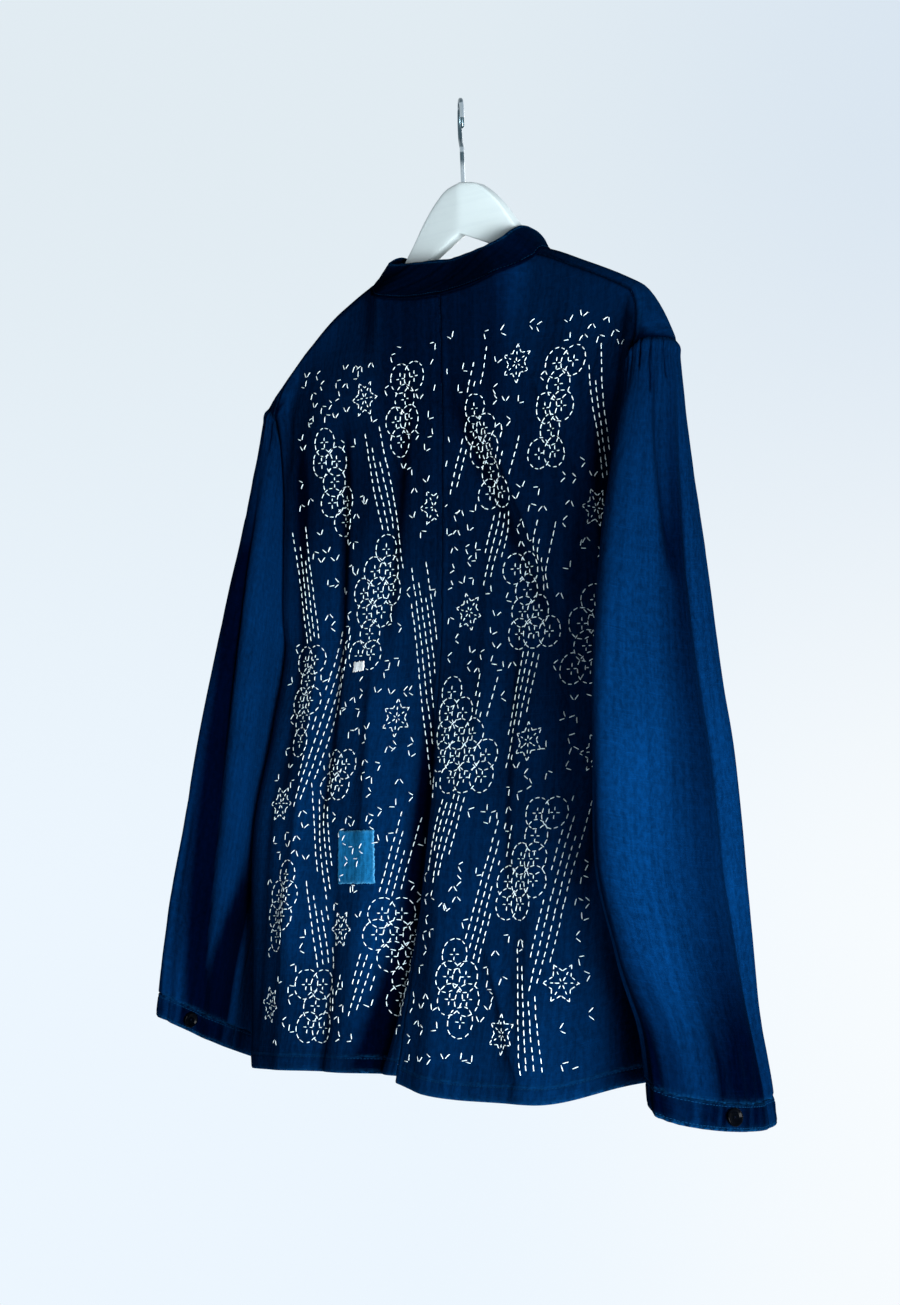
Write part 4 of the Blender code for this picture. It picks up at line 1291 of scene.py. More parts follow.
@dataclass(frozen=True)
class LacquerFinish(TwoTone):
    """White lacquer on wood, with a little grain under it."""

    coat: float = 0.25
    coat_roughness: float = 0.2
    bump: float = 0.05
    bump_depth: float = 0.0003

    def dress(self) -> bpy.types.Material:
        """Material of the hanger."""
        surface = Surface(self.name)
        graph = surface.graph
        grain = graph.noise(surface.place, WOOD_GRAIN, 3.0)
        scuff = graph.noise(surface.place, WOOD_SCUFFS, 4.0, 0.6)
        surface.bump(grain, self.bump, self.bump_depth)
        return surface.dressed(
            {
                "Base Color": graph.blend(graph.spread(grain, 0.35, 0.75), self.colour, self.shade),
                "Roughness": graph.spread(scuff, 0.3, 0.7, 0.30, 0.46),
                "Coat Weight": self.coat,
                "Coat Roughness": self.coat_roughness,
            }
        )


@dataclass(frozen=True)
class MetalFinish(TwoTone):
    """Plated wire, bright on its stem, with a painted dark reflection in patches on its round."""

    dull_below: float = -0.062
    dull_tall: float = 0.012
    marks: float = 0.25

    def dress(self) -> bpy.types.Material:
        """Material of the hook."""
        surface = Surface(self.name)
        graph = surface.graph
        height = graph.axis(surface.place, "Z")
        marks = graph.noise(surface.place, WIRE_MARKS)
        # painted dark reflection: the round above the stem is darker, in patches
        worn = graph.spread(graph.noise(surface.place, WIRE_REFLECTION_PATCHES, 1.0), 0.62, 0.50)
        round_part = graph.spread(height, self.dull_below, self.dull_below + self.dull_tall)
        painted_dark_reflection = graph.maths("MULTIPLY", round_part, worn)
        tone = graph.maths("ADD", graph.maths("MULTIPLY", marks, self.marks), painted_dark_reflection, clamp=True)
        return surface.dressed(
            {
                "Base Color": graph.blend(tone, self.colour, self.shade),
                "Metallic": 1.0,
                "Roughness": graph.spread(marks, 0.3, 0.7, 0.20, 0.30),
            }
        )


@dataclass(frozen=True)
class ButtonFinish(TwoTone):
    """Polished black resin with fine scratches."""

    gloss: float = 0.02

    def dress(self) -> bpy.types.Material:
        """Material of the buttons."""
        surface = Surface(self.name)
        graph = surface.graph
        marks = graph.noise(surface.place, RESIN_MARKS, 3.0, 0.6)
        return surface.dressed(
            {
                "Base Color": graph.blend(marks, self.colour, self.shade),
                "Roughness": graph.spread(marks, 0.35, 0.7, 0.09, 0.18),
                "Specular IOR Level": self.gloss,
            }
        )


INDIGO = ClothFinish(
    "indigo cloth",
    deep=(0.0000, 0.0008, 0.0060, 1.0),
    light=(0.0004, 0.0165, 0.0680, 1.0),
    rubbed=(0.0030, 0.0480, 0.1400, 1.0),
)
PATCH_BLUE_CLOTH = ClothFinish(
    "patch cloth",
    deep=(0.0030, 0.0850, 0.2600, 1.0),
    light=(0.0150, 0.2000, 0.4400, 1.0),
    rubbed=(0.1000, 0.3600, 0.6000, 1.0),
    pitch=0.0012,
)
WHITE_PATCH_CLOTH = ClothFinish(
    "white cotton",
    deep=(0.62, 0.72, 0.78, 1.0),
    light=(0.86, 0.90, 0.92, 1.0),
    rubbed=(0.90, 0.93, 0.94, 1.0),
    sheen_tint=(1.0, 1.0, 1.0, 1.0),
)
WHITE_THREAD = ThreadFinish("white thread", (0.80, 0.92, 0.97, 1.0), (0.62, 0.80, 0.90, 1.0))
NAVY_THREAD = ThreadFinish(
    "navy sewing thread", (0.0030, 0.0300, 0.0850, 1.0), (0.0008, 0.0110, 0.0380, 1.0), gloss=0.0, sheen=0.0
)
BLACK_THREAD = ThreadFinish(
    "black sewing thread", (0.0030, 0.0040, 0.0080, 1.0), (0.0010, 0.0015, 0.0040, 1.0), gloss=0.0, sheen=0.0
)
LACQUER = LacquerFinish("white lacquer", (0.65, 0.76, 0.78, 1.0), (0.62, 0.73, 0.755, 1.0))
# the shade colour is the painted dark reflection on the hook's round
CHROME = MetalFinish("dulled wire", (0.50, 0.56, 0.59, 1.0), (0.075, 0.115, 0.135, 1.0))
BLACK_RESIN = ButtonFinish("black resin", (0.0001, 0.0003, 0.0008, 1.0), (0.0003, 0.0006, 0.0014, 1.0))


# --- cloth pieces ---
@dataclass(frozen=True)
class Groove:
    """Soft groove that a seam or a row of stitching draws the cloth into."""

    wide: float
    depth: float

    def at(self, distance: Numbers) -> Numbers:
        """How far the cloth moves out at distances from its line."""
        return -self.depth * bell(distance, self.wide)


@dataclass(frozen=True)
class Pucker:
    """Uneven waves beside a seam, highest on a line along it."""

    height: float
    length: float
    wide: float

    def at(self, along: Numbers, distance: Numbers, seed: float) -> Numbers:
        """How far the cloth moves out at places along the seam and distances from the line."""
        return self.height * ripple(along, self.length, seed) * bell(distance, self.wide)


@dataclass(frozen=True)
class Rub:
    """Wear on an edge, falling off inwards."""

    share: float
    wide: float

    def at(self, distance: Numbers) -> Numbers:
        """Wear at distances from the edge."""
        return self.share * np.exp(-distance / self.wide)


HEM_STITCHING = Groove(0.0011, 0.0006)
BAND_STITCHING = Groove(0.0010, 0.0005)
CENTRE_STITCHING = Groove(0.0012, 0.00035)
YOKE_STITCHING = Groove(0.0012, 0.0004)
CENTRE_GROOVE = Groove(0.0016, 0.0010)
SHOULDER_GROOVE = Groove(0.0013, 0.0008)
BACK_SIDE_GROOVE = Groove(0.0020, 0.0012)
FRONT_SIDE_GROOVE = Groove(0.0020, 0.0010)
ARMHOLE_GROOVE = Groove(0.0022, 0.0014)
UNDERARM_GROOVE = Groove(0.0018, 0.0008)
ARMHOLE_ROLL = Groove(0.0050, -0.0012)
HEM_PUCKER = Pucker(0.0005, 0.017, 0.012)
CENTRE_PUCKER = Pucker(0.0005, 0.021, 0.010)
STRIP_PUCKER = Pucker(0.0004, 0.024, 0.012)
ARMHOLE_PUCKER = Pucker(0.0016, 0.021, 0.018)
CUFF_PUCKER = Pucker(0.0017, 0.022, 0.030)
HEM_RUB = Rub(0.9, 0.0016)
STRIP_RUB = Rub(0.7, 0.0014)
STITCHING_WIDE = 0.0014


def hem_step(distance: Numbers, depth: float) -> Numbers:
    """Second layer of a turned edge, with its fold rounded off and its stitch line pulled in."""
    layer = 0.0007 * (1.0 - smooth((distance - depth) / 0.0012))
    fold = -0.0008 * (1.0 - smooth(distance / 0.0016))
    return layer + fold + HEM_STITCHING.at(distance - depth + STITCH_INSET)


def band_step(edge: Numbers, proud: float, stitch: float) -> Numbers:
    """Double band that stands proud, with its edge rounded off and its stitch line pulled in."""
    return proud - (proud + 0.0005) * (1.0 - smooth(edge / 0.0018)) + BAND_STITCHING.at(edge - stitch)


def dye_depth(z: Numbers, low: float, high: float) -> Numbers:
    """How dark the cloth is painted, from the hem up to the shoulders: painted shade, darker towards the
    top, where less light falls.
    """
    return mix(low, high, smooth((z - HEIGHT_SHADE_LOW_Z) / HEIGHT_SHADE_TALL))


def seam_dye(distance: Numbers) -> Numbers:
    """Darker line along a seam: partly dye kept in its groove, partly painted shade."""
    return SEAM_DYE_AND_SHADE * bell(distance, SEAM_DYE_AND_SHADE_WIDE)


def from_ends(grid: Numbers) -> tuple[Numbers, Numbers]:
    """Distances on the cloth from a sheet's top and from its low edge."""
    return run_lengths(grid, 0), run_lengths(grid[::-1], 0)[::-1]


def rounded_shoulder(grid: Numbers, side: Side) -> Numbers:
    """Draw the near shoulder's point in, so that it runs into the sleeve in one curve."""
    if side is Side.LEFT:
        return grid
    near = bell(grid[..., 2] - SHOULDER_TUCK_Z, SHOULDER_TUCK_TALL)
    beside = smooth((np.abs(grid[..., 0]) - SHOULDER_TUCK_X) / SHOULDER_TUCK_WIDE)
    return grid - points(side.value * SHOULDER_TUCK * near * beside, 0.0, 0.0)


@dataclass
class Panel:
    """Half of the back or the front: rows over the shoulder roll, then down to the turned hem."""

    form: BodyForm
    side: Side
    face: Face = Face.BACK
    shoulder_columns: int = 66
    roll_rows: int = 12
    roll_power: float = 1.5
    hang_rows: int = 214
    hem_rows: int = 26
    hem_share: float = 0.022 / 0.70
    # low and high shares: painted shade at the hem and at the top, the cloth painted darker towards the top
    low_dye: float = 0.24
    high_dye: float = 0.76

    def grid(self, lateral: Numbers, under_neck: Numbers, start: Numbers, end: Numbers) -> Numbers:
        """Places of the panel on the garment's form.

        Args:
            lateral: lateral shares of its columns, in one row.
            under_neck: whether each column starts at the neckline instead of the shoulder seam.
            start: angle on the shoulder roll where the other columns start.
            end: angle where they leave the roll.

        Returns:
            The places, a row for each line across the cloth.
        """
        form, side, face = self.form, self.side, self.face
        neck_z = form.neck[face].at(lateral * SHOULDER_END_X) - SEAM_GAP
        run = np.linspace(0.0, 1.0, self.roll_rows, endpoint=False)[:, None] ** self.roll_power
        rolled = form.roll(side, lateral, mix(start, end, run))
        fallen = form.hang(side, face, lateral, mix(neck_z, neck_z - NECK_ROWS_DROP, run))
        top = np.where(under_neck[..., None], fallen, rolled)
        first = np.where(under_neck, neck_z - NECK_ROWS_DROP, form.roll(side, lateral, end)[..., 2])
        hang = np.linspace(0.0, 1.0 - self.hem_share, self.hang_rows, endpoint=False)
        drop = np.concatenate([hang, np.linspace(1.0 - self.hem_share, 1.0, self.hem_rows)])
        heights = mix(first, form.hem_z(side, face, lateral), drop[:, None])
        hung = form.hang(side, face, np.broadcast_to(lateral, heights.shape), heights)
        return np.concatenate([top, hung], axis=0)

    def finished(self, grid: Numbers, wear: Numbers, dye: Numbers, lift: Numbers) -> Sheet:
        """Sheet of the panel, raised by its lift."""
        outward = np.array([0.0, self.face.value, 0.0])
        name = f"{self.face.name.lower()}_{self.side.word}"
        return Sheet(name, grid, outward, wear, dye).raised(lift)


@dataclass
class BackPanel(Panel):
    """Half of the back, from its centre seam to the armhole and the side seam."""

    neck_columns: int = 46
    least_roll: float = 4.0

    def places(self) -> Numbers:
        """Places of the panel on the garment's form."""
        neck = NECK_X / SHOULDER_END_X
        under = crowd(self.neck_columns, 1.25)[:-1] * neck
        shoulder = mix(neck, 1.0, crowd(self.shoulder_columns, 1.0, 1.5))
        lateral = np.concatenate([under, shoulder])[None, :]
        start = self.form.seam_angle(lateral) + math.degrees(SEWN_GAP / ROLL_RADIUS)
        grid = self.grid(lateral, lateral < neck - 1e-6, start, np.maximum(start + self.least_roll, 90.0))
        grid[:, 0, 0] = self.side.value * SEWN_GAP
        return off_centre(grid)

    def dye(self, grid: Numbers, from_top: Numbers, to_side: Numbers) -> Numbers:
        """How dark the panel is: painted shade towards the top, in its folds and low beside the sleeves,
        less of it on the shoulders, seam lines partly dye and partly painted shade, and a lighter patch on
        the far half.

        Args:
            grid: places on the panel.
            from_top: distances from its top edge.
            to_side: distances from its outer edge.

        Returns:
            Dye and painted shade, 0 at its lightest and 1 at its darkest.
        """
        x, z = grid[..., 0], grid[..., 2]
        # painted shade towards the top and in the folds; seam lines are partly dye, partly painted shade
        dye = dye_depth(z, self.low_dye, self.high_dye) + FOLD_SHADE * self.form.shade(Face.BACK, x, z)
        dye = dye + seam_dye(from_top) + seam_dye(to_side) + CENTRE_SEAM_SHARE * seam_dye(np.abs(x))
        # above the yoke, less painted shade on the shoulders, least on the far one, a little more under the
        # neck
        under_neck = smooth((NECK_X - np.abs(x)) / NECK_SETTLE_WIDTH)
        shoulder = SHOULDER_SHADE_OFFSET * (1.0 + FAR_SHOULDER_OFFSET_SHARE * smooth(x / NECK_X))
        dye = dye + mix(shoulder, NECK_SHADE_OFFSET, under_neck) * smooth((z - YOKE_SHADE_Z) / YOKE_SHADE_TALL)
        # painted shadow of the sleeve on the back beside it, low down
        under_sleeve = smooth((0.050 - to_side) / 0.045) * smooth((-0.60 - z) / 0.1)
        # lighter patch on the far half
        lighter_patch = smooth(x / 0.03) * smooth((-0.38 - z) / 0.1) * smooth((z + 0.84) / 0.1)
        return dye + UNDER_SLEEVE_SHADOW * under_sleeve - FAR_HALF_LIGHTENING * lighter_patch

    def sheet(self) -> Sheet:
        """Sheet of the panel with its seams, hem and low unevenness."""
        grid = rounded_shoulder(self.places(), self.side)
        x, z = grid[..., 0], grid[..., 2]
        across = np.abs(x)
        to_side = across[:, -1:] - across
        from_top, to_hem = from_ends(grid)
        sign = self.side.value
        lift = hem_step(to_hem, HEM_DEPTH) + HEM_PUCKER.at(x, to_hem - HEM_DEPTH, 2.0 + sign)
        lift = lift + CENTRE_GROOVE.at(across) + CENTRE_STITCHING.at(across - CENTRE_STITCH)
        lift = lift + CENTRE_PUCKER.at(z, across, 4.0 + sign)
        lift = lift + SHOULDER_GROOVE.at(from_top) + BACK_SIDE_GROOVE.at(to_side)
        inside = smooth(to_side / 0.02) * smooth(across / 0.01) * smooth(from_top / 0.05)
        lift = lift + limp(x, z, 3.0 + sign) * inside
        wear = HEM_RUB.at(to_hem) + Rub(0.12, 0.0012).at(across) + Rub(0.08, STITCHING_WIDE).at(from_top)
        wear = wear + 0.25 * bell(to_hem - HEM_DEPTH, STITCHING_WIDE)
        return self.finished(grid, wear, self.dye(grid, from_top, to_side), lift)


@dataclass
class FrontPanel(Panel):
    """Half of the front, from the set-back shoulder seam over the ridge and down to the hem."""

    face: Face = Face.FRONT
    shoulder_columns: int = 52
    roll_rows: int = 34
    roll_power: float = 1.2
    hang_rows: int = 130
    hem_rows: int = 18
    hem_share: float = 0.020 / 0.66
    low_dye: float = 0.20
    high_dye: float = 0.80
    overlap_columns: int = 7
    neck_columns: int = 40
    turn_columns: int = 8
    under_neck: float = 2.0
    past_neck: float = -1.0

    def columns(self) -> tuple[Numbers, Numbers, Numbers]:
        """Lateral share, distance past the centre, and share of the turn at the neck's side, by column.

        The turn's share is under_neck before the turn and past_neck after it.
        """
        inner = (NECK_X - NECK_NARROWING) / SHOULDER_END_X
        neck = NECK_X / SHOULDER_END_X
        past = OVERLAP * (1.0 - crowd(self.overlap_columns, 1.6)[:-1])
        centre = np.linspace(0.0, inner, self.neck_columns, endpoint=False)
        turn = np.linspace(1.0, 0.0, self.turn_columns, endpoint=False)
        shoulder = mix(neck, 1.0, crowd(self.shoulder_columns, 1.0, 1.5))
        lateral = np.concatenate([np.zeros_like(past), centre, mix(neck, inner, turn), shoulder])
        before = np.full(len(past) + len(centre), self.under_neck)
        around = np.concatenate([before, turn, np.full(len(shoulder), self.past_neck)])
        return lateral, np.pad(past, (0, len(lateral) - len(past))), around

    def places(self) -> Numbers:
        """Places of the panel on the garment's form."""
        lateral, past, around = (row[None, :] for row in self.columns())
        seam = self.form.seam_angle(lateral) - math.degrees(SEWN_GAP / ROLL_RADIUS)
        turned = mix(SEAM_ROLL_ANGLE, NECK_FRONT_ANGLE, np.clip(around, 0.0, 1.0)) - 1.0
        start = np.where(around < 0.0, seam, turned)
        grid = self.grid(lateral, around > 1.0, start, np.array(-90.0))
        beyond = (past > 0.0)[0]
        grid[:, beyond, 0] = -self.side.value * past[0][beyond]
        over = smooth((OVERLAP * 2.0 + self.side.value * -grid[..., 0]) / OVERLAP)
        grid[..., 1] -= self.side.value * OVERLAP_LIFT / 2 * over
        return off_centre(grid)

    def sheet(self) -> Sheet:
        """Sheet of the panel with its button strip, seams, hem and low unevenness."""
        grid = rounded_shoulder(self.places(), self.side)
        x, z = grid[..., 0], grid[..., 2]
        inset = x * self.side.value + OVERLAP
        from_top, to_hem = from_ends(grid)
        to_side = np.abs(x[:, -1:]) - np.abs(x)
        lift = hem_step(to_hem, HEM_DEPTH) + hem_step(inset, STRIP_WIDTH)
        lift = lift + SHOULDER_GROOVE.at(from_top) + YOKE_STITCHING.at(from_top - YOKE_STITCH)
        lift = lift + STRIP_PUCKER.at(z, inset - STRIP_WIDTH, 7.0 + self.side.value)
        inside = smooth(to_side / 0.02) * smooth((inset - STRIP_WIDTH) / 0.03)
        inside = inside * smooth((from_top - 0.03) / 0.05)
        lift = lift + limp(x, z, 8.0 + self.side.value) * inside + FRONT_SIDE_GROOVE.at(to_side)
        wear = HEM_RUB.at(to_hem) + STRIP_RUB.at(np.maximum(inset, 0.0))
        wear = wear + Rub(0.15, STITCHING_WIDE).at(from_top)
        wear = wear + 0.1 * bell(from_top - YOKE_STITCH, STITCHING_WIDE)
        # painted shade towards the top and in the folds, less of it on the shoulder strip; seam lines are
        # partly dye, partly painted shade
        dye = dye_depth(z, self.low_dye, self.high_dye) + FOLD_SHADE * self.form.shade(Face.FRONT, x, z)
        dye = dye - STRIP_LESS_SHADE * smooth((np.abs(x) - 0.11) / 0.06) * smooth((z + 0.36) / 0.08)
        dye = dye + seam_dye(from_top) + seam_dye(to_side)
        return self.finished(grid, wear, dye, lift)


@dataclass
class Tube:
    """Sheet that goes round a sleeve and closes on its inner side."""

    form: SleeveForm
    columns: int = 112

    def turns(self) -> Numbers:
        """Turns of its columns, in one row."""
        return np.linspace(-180.0, 180.0, self.columns + 1)[None, :]

    def closed(self, kind: str, grid: Numbers, wear: Numbers, dye: Numbers) -> Sheet:
        """Sheet of the tube's places.

        Args:
            kind: first word of its name.
            grid: its places.
            wear: its wear.
            dye: its dye, with the painted shade laid into it.

        Returns:
            The sheet, not raised yet.
        """
        angle = np.radians(self.turns())
        outward = points(np.cos(angle) * self.form.side.value, np.sin(angle), 0.0 * grid[..., 2])
        return Sheet(f"{kind}_{self.form.side.word}", grid, outward, wear, dye, wrap=True)


@dataclass
class Sleeve(Tube):
    """Sleeve from the armhole seam to the cuff seam.

    Its low share is the painted shade added below the height low_from, and its fold share the painted shade
    in its folds.
    """

    rows: int = 236
    low_dye: float = 0.42
    low_from: float = -0.72
    fold_dye: float = 0.62
    seed: float = 11.0

    def sheet(self) -> Sheet:
        """Sheet of the sleeve with the roll of its head, its puckers and low unevenness."""
        turn = self.turns()
        low = self.form.rim_z(turn) + CUFF_HEIGHT - TUCK
        z = mix(self.form.armhole_z(turn), low, crowd(self.rows, 1.25, 1.15)[:, None])
        grid = rounded_shoulder(self.form.place(np.broadcast_to(turn, z.shape), z), self.form.side)
        from_top, to_low = from_ends(grid)
        to_cuff = to_low - TUCK
        around = np.radians(turn) * SLEEVE_RADIUS
        to_inner = np.radians(180.0 - np.abs(turn)) * SLEEVE_RADIUS
        seed = self.seed + self.form.side.value
        lift = ARMHOLE_GROOVE.at(from_top) + ARMHOLE_ROLL.at(from_top - 0.007)
        lift = lift + ARMHOLE_PUCKER.at(around, from_top - 0.014, seed) + UNDERARM_GROOVE.at(to_inner)
        lift = lift + CUFF_PUCKER.at(around, to_cuff, seed + 1.0)
        lift = lift - 0.0016 * (1.0 - smooth((to_cuff + 0.0005) / 0.0016))
        inside = smooth(from_top / 0.05) * smooth(to_cuff / 0.04) * smooth(to_inner / 0.02)
        lift = lift + limp(around * np.cos(np.radians(turn) / 2) ** 0.5, z, seed) * 1.3 * inside
        wear = Rub(0.2, STITCHING_WIDE).at(from_top) + Rub(0.35, STITCHING_WIDE).at(to_cuff)
        wear = wear + Rub(0.06, 0.0015).at(to_inner)
        # painted shade towards the top, in the folds and below the low height; the seam line is partly dye,
        # partly painted shade
        dye = dye_depth(z, 0.05, 0.50) + self.fold_dye * self.form.shade(turn, z) + seam_dye(from_top)
        dye = dye + self.low_dye * smooth((self.low_from - z) / 0.16)
        return self.closed("sleeve", grid, wear, dye).raised(lift)


@dataclass
class Cuff(Tube):
    """Cuff band below the sleeve, double cloth with stitched edges."""

    rows: int = 22
    proud: float = 0.0007
    stitch: float = 0.0030
    dye: float = 0.70
    seed: float = 15.0

    def sheet(self) -> Sheet:
        """Sheet of the cuff."""
        turn = self.turns()
        rim = self.form.rim_z(turn)
        z = mix(rim + CUFF_HEIGHT, rim, np.linspace(0.0, 1.0, self.rows + 1)[:, None])
        grid = self.form.place(np.broadcast_to(turn, z.shape), z)
        from_top, to_rim = from_ends(grid)
        around = np.radians(turn) * SLEEVE_RADIUS
        seed = self.seed + self.form.side.value
        edge = np.minimum(from_top, to_rim)
        lift = band_step(edge, self.proud, self.stitch) + 0.0004 * ripple(around, 0.019, seed)
        lift = lift + 0.0005 * ripple(around + 0.2 * (z - rim), 0.011, seed + 2.0) * smooth(edge / 0.004)
        wear = Rub(0.8, STITCHING_WIDE).at(to_rim) + Rub(0.35, STITCHING_WIDE).at(from_top)
        # painted shade: a share of the sleeve's crease shade; the ripple is an uneven dye
        dye = self.dye + 0.22 * ripple(around, 0.017, seed + 3.0) + 0.4 * self.form.shade(turn, z)
        return self.closed("cuff", grid, wear, dye).raised(lift)


@dataclass
class Collar:
    """Stand collar: a double band from one centre-front end round the back to the other."""

    form: BodyForm
    columns: int = 240
    rows: int = 27
    tuck: float = 0.06
    proud: float = 0.0006
    stitch: float = 0.0032
    low_stitch: float = 0.0042
    # the collar's even darkness is painted shade: it faces up, away from the low lamps
    dye: float = 0.92
    seed: float = 21.0

    def sheet(self) -> Sheet:
        """Sheet of the collar; its low edge laps over the neck of the panels."""
        across = np.linspace(0.0, 1.0, self.columns + 1)[None, :]
        up = 1.0 - (1.0 + self.tuck) * np.linspace(0.0, 1.0, self.rows + 1)[:, None]
        across, up = np.broadcast_arrays(across, up)
        grid = off_centre(self.form.collar(across, up))
        from_top, to_seam = from_ends(grid)
        along = run_lengths(grid, 1)
        end = np.minimum(along, along[:, -1:] - along)
        lift = band_step(np.minimum(from_top, end), self.proud, self.stitch)
        lift = lift + self.proud * (1.0 - smooth(to_seam / 0.004))
        lift = lift + BAND_STITCHING.at(to_seam - self.low_stitch)
        lift = lift + 0.0005 * ripple(along, 0.028, self.seed) * smooth(end / 0.01)
        wear = Rub(0.8, 0.0016).at(from_top) + Rub(0.7, 0.0016).at(end)
        outward = points(grid[..., 0], grid[..., 1] + COLLAR_BACK_OFFSET, 0.0)
        made = Sheet("collar", grid, outward, wear, self.dye + seam_dye(to_seam))
        middle = self.columns // 2
        made.v = np.broadcast_to(made.v[:, middle : middle + 1], made.v.shape).copy()
        return made.raised(lift)


# --- hanger, hook and buttons ---
@dataclass
class Hanger:
    """Contoured wooden hanger: a rounded bar lofted along its two arms."""

    thickness: float = 0.012
    bend: float = 0.06
    bend_end: float = 0.10
    stations: int = 120
    around: int = 40
    roundness: float = 8.0
    end_round: float = 0.004
    end_share: float = 0.5

    def middle_y(self, x: Numbers) -> Numbers:
        """Middle of the bar's thickness; the arms leave the middle in a shallow V."""
        return RIDGE_Y + self.bend * np.maximum(self.bend_end - np.abs(x), 0.0)

    def mesh(self) -> bpy.types.Mesh:
        """Closed mesh of the bar."""
        top = Track(HANGER, "x", "top")
        low = Track(HANGER, "x", "low")
        length = HANGER[-1].x
        x = length * np.sin(np.linspace(-1.0, 1.0, self.stations + 1) * math.pi / 2)[:, None]
        turn = np.linspace(0.0, 2.0 * math.pi, self.around, endpoint=False)[None, :]
        tall = (top.at(np.abs(x)) - low.at(np.abs(x))) / 2
        middle = (top.at(np.abs(x)) + low.at(np.abs(x))) / 2
        power = 2.0 / self.roundness
        y = np.sign(np.cos(turn)) * np.abs(np.cos(turn)) ** power * self.thickness / 2
        z = np.sign(np.sin(turn)) * np.abs(np.sin(turn)) ** power * tall + middle
        rounded = np.clip((length - np.abs(x)) / self.end_round, 0.0, 1.0) ** 0.5
        soft = mix(self.end_share, 1.0, rounded)
        grid = points(x, self.middle_y(x) + y * soft, middle + (z - middle) * soft)
        bm = bmesh.new()
        bmesh.ops.create_circle(bm, segments=self.around, radius=self.thickness, cap_ends=False)
        ring = list(bm.edges)
        for _ in range(self.stations):
            made = bmesh.ops.extrude_edge_only(bm, edges=ring)
            ring = [item for item in made["geom"] if isinstance(item, bmesh.types.BMEdge)]
        bm.verts.ensure_lookup_table()
        for vert, place in zip(bm.verts, grid.reshape(-1, 3)):
            vert.co = place
        bmesh.ops.holes_fill(bm, edges=bm.edges, sides=self.around)
        bmesh.ops.recalc_face_normals(bm, faces=bm.faces)
        mesh = mesh_of(bm, "hanger_wood")
        mesh.shade_smooth()
        return mesh


@dataclass
class Hook:
    """Wire hook on its stem, turned on its swivel."""

    wire: float = 0.002
    radius: float = 0.0205
    turn: float = 141.0
    lean: float = 0.0025
    tip: float = -28.0
    entry: float = 205.0
    stem_bend: float = 0.018
    steps: int = 96
    stem_steps: int = 8
    bend_steps: int = 16
    tip_share: float = 0.45
    tip_growth: float = 0.35

    def route(self) -> list[tuple[float, float]]:
        """Middle line of the wire in its own plane: the stem, then the round of the hook."""
        foot = HANGER[0].top + SEAM_GAP
        centre = self.wire - self.radius
        entry = math.radians(self.entry)
        entry_z = centre + self.radius * math.sin(entry)
        entry_x = self.radius * math.cos(entry)
        bend_foot = entry_z - self.stem_bend
        line = [(0.0, float(z)) for z in np.linspace(foot, bend_foot, self.stem_steps, endpoint=False)]
        for t in np.linspace(0.0, 1.0, self.bend_steps, endpoint=False):
            line.append((entry_x * float(smooth(t)), float(mix(bend_foot, entry_z, t))))
        for angle in np.radians(np.linspace(self.entry, self.tip, self.steps)):
            line.append((self.radius * math.cos(angle), centre + self.radius * math.sin(angle)))
        return line

    def mesh(self, name: str, centre_y: float) -> bpy.types.Mesh:
        """Mesh of the wire, with a rounded tip."""
        curve = bpy.data.curves.new(name, "CURVE")
        curve.dimensions = "3D"
        curve.bevel_depth = self.wire
        curve.bevel_resolution = 5
        curve.use_fill_caps = True
        line = self.route()
        spline = curve.splines.new("POLY")
        spline.points.add(len(line) - 1)
        turn = math.radians(self.turn)
        for index, (point, (out, z)) in enumerate(zip(spline.points, line)):
            aside = self.lean * (z / line[0][1] - 1.0)
            x = out * math.cos(turn) - aside * math.sin(turn)
            point.co = (x, out * math.sin(turn) + aside * math.cos(turn) + centre_y, z, 1.0)
            point.radius = min(1.0, self.tip_share + self.tip_growth * (len(line) - 1 - index))
        holder = bpy.data.objects.new(name, curve)
        mesh = bpy.data.meshes.new_from_object(holder)
        bpy.data.objects.remove(holder)
        mesh.name = name
        mesh.shade_smooth()
        return mesh


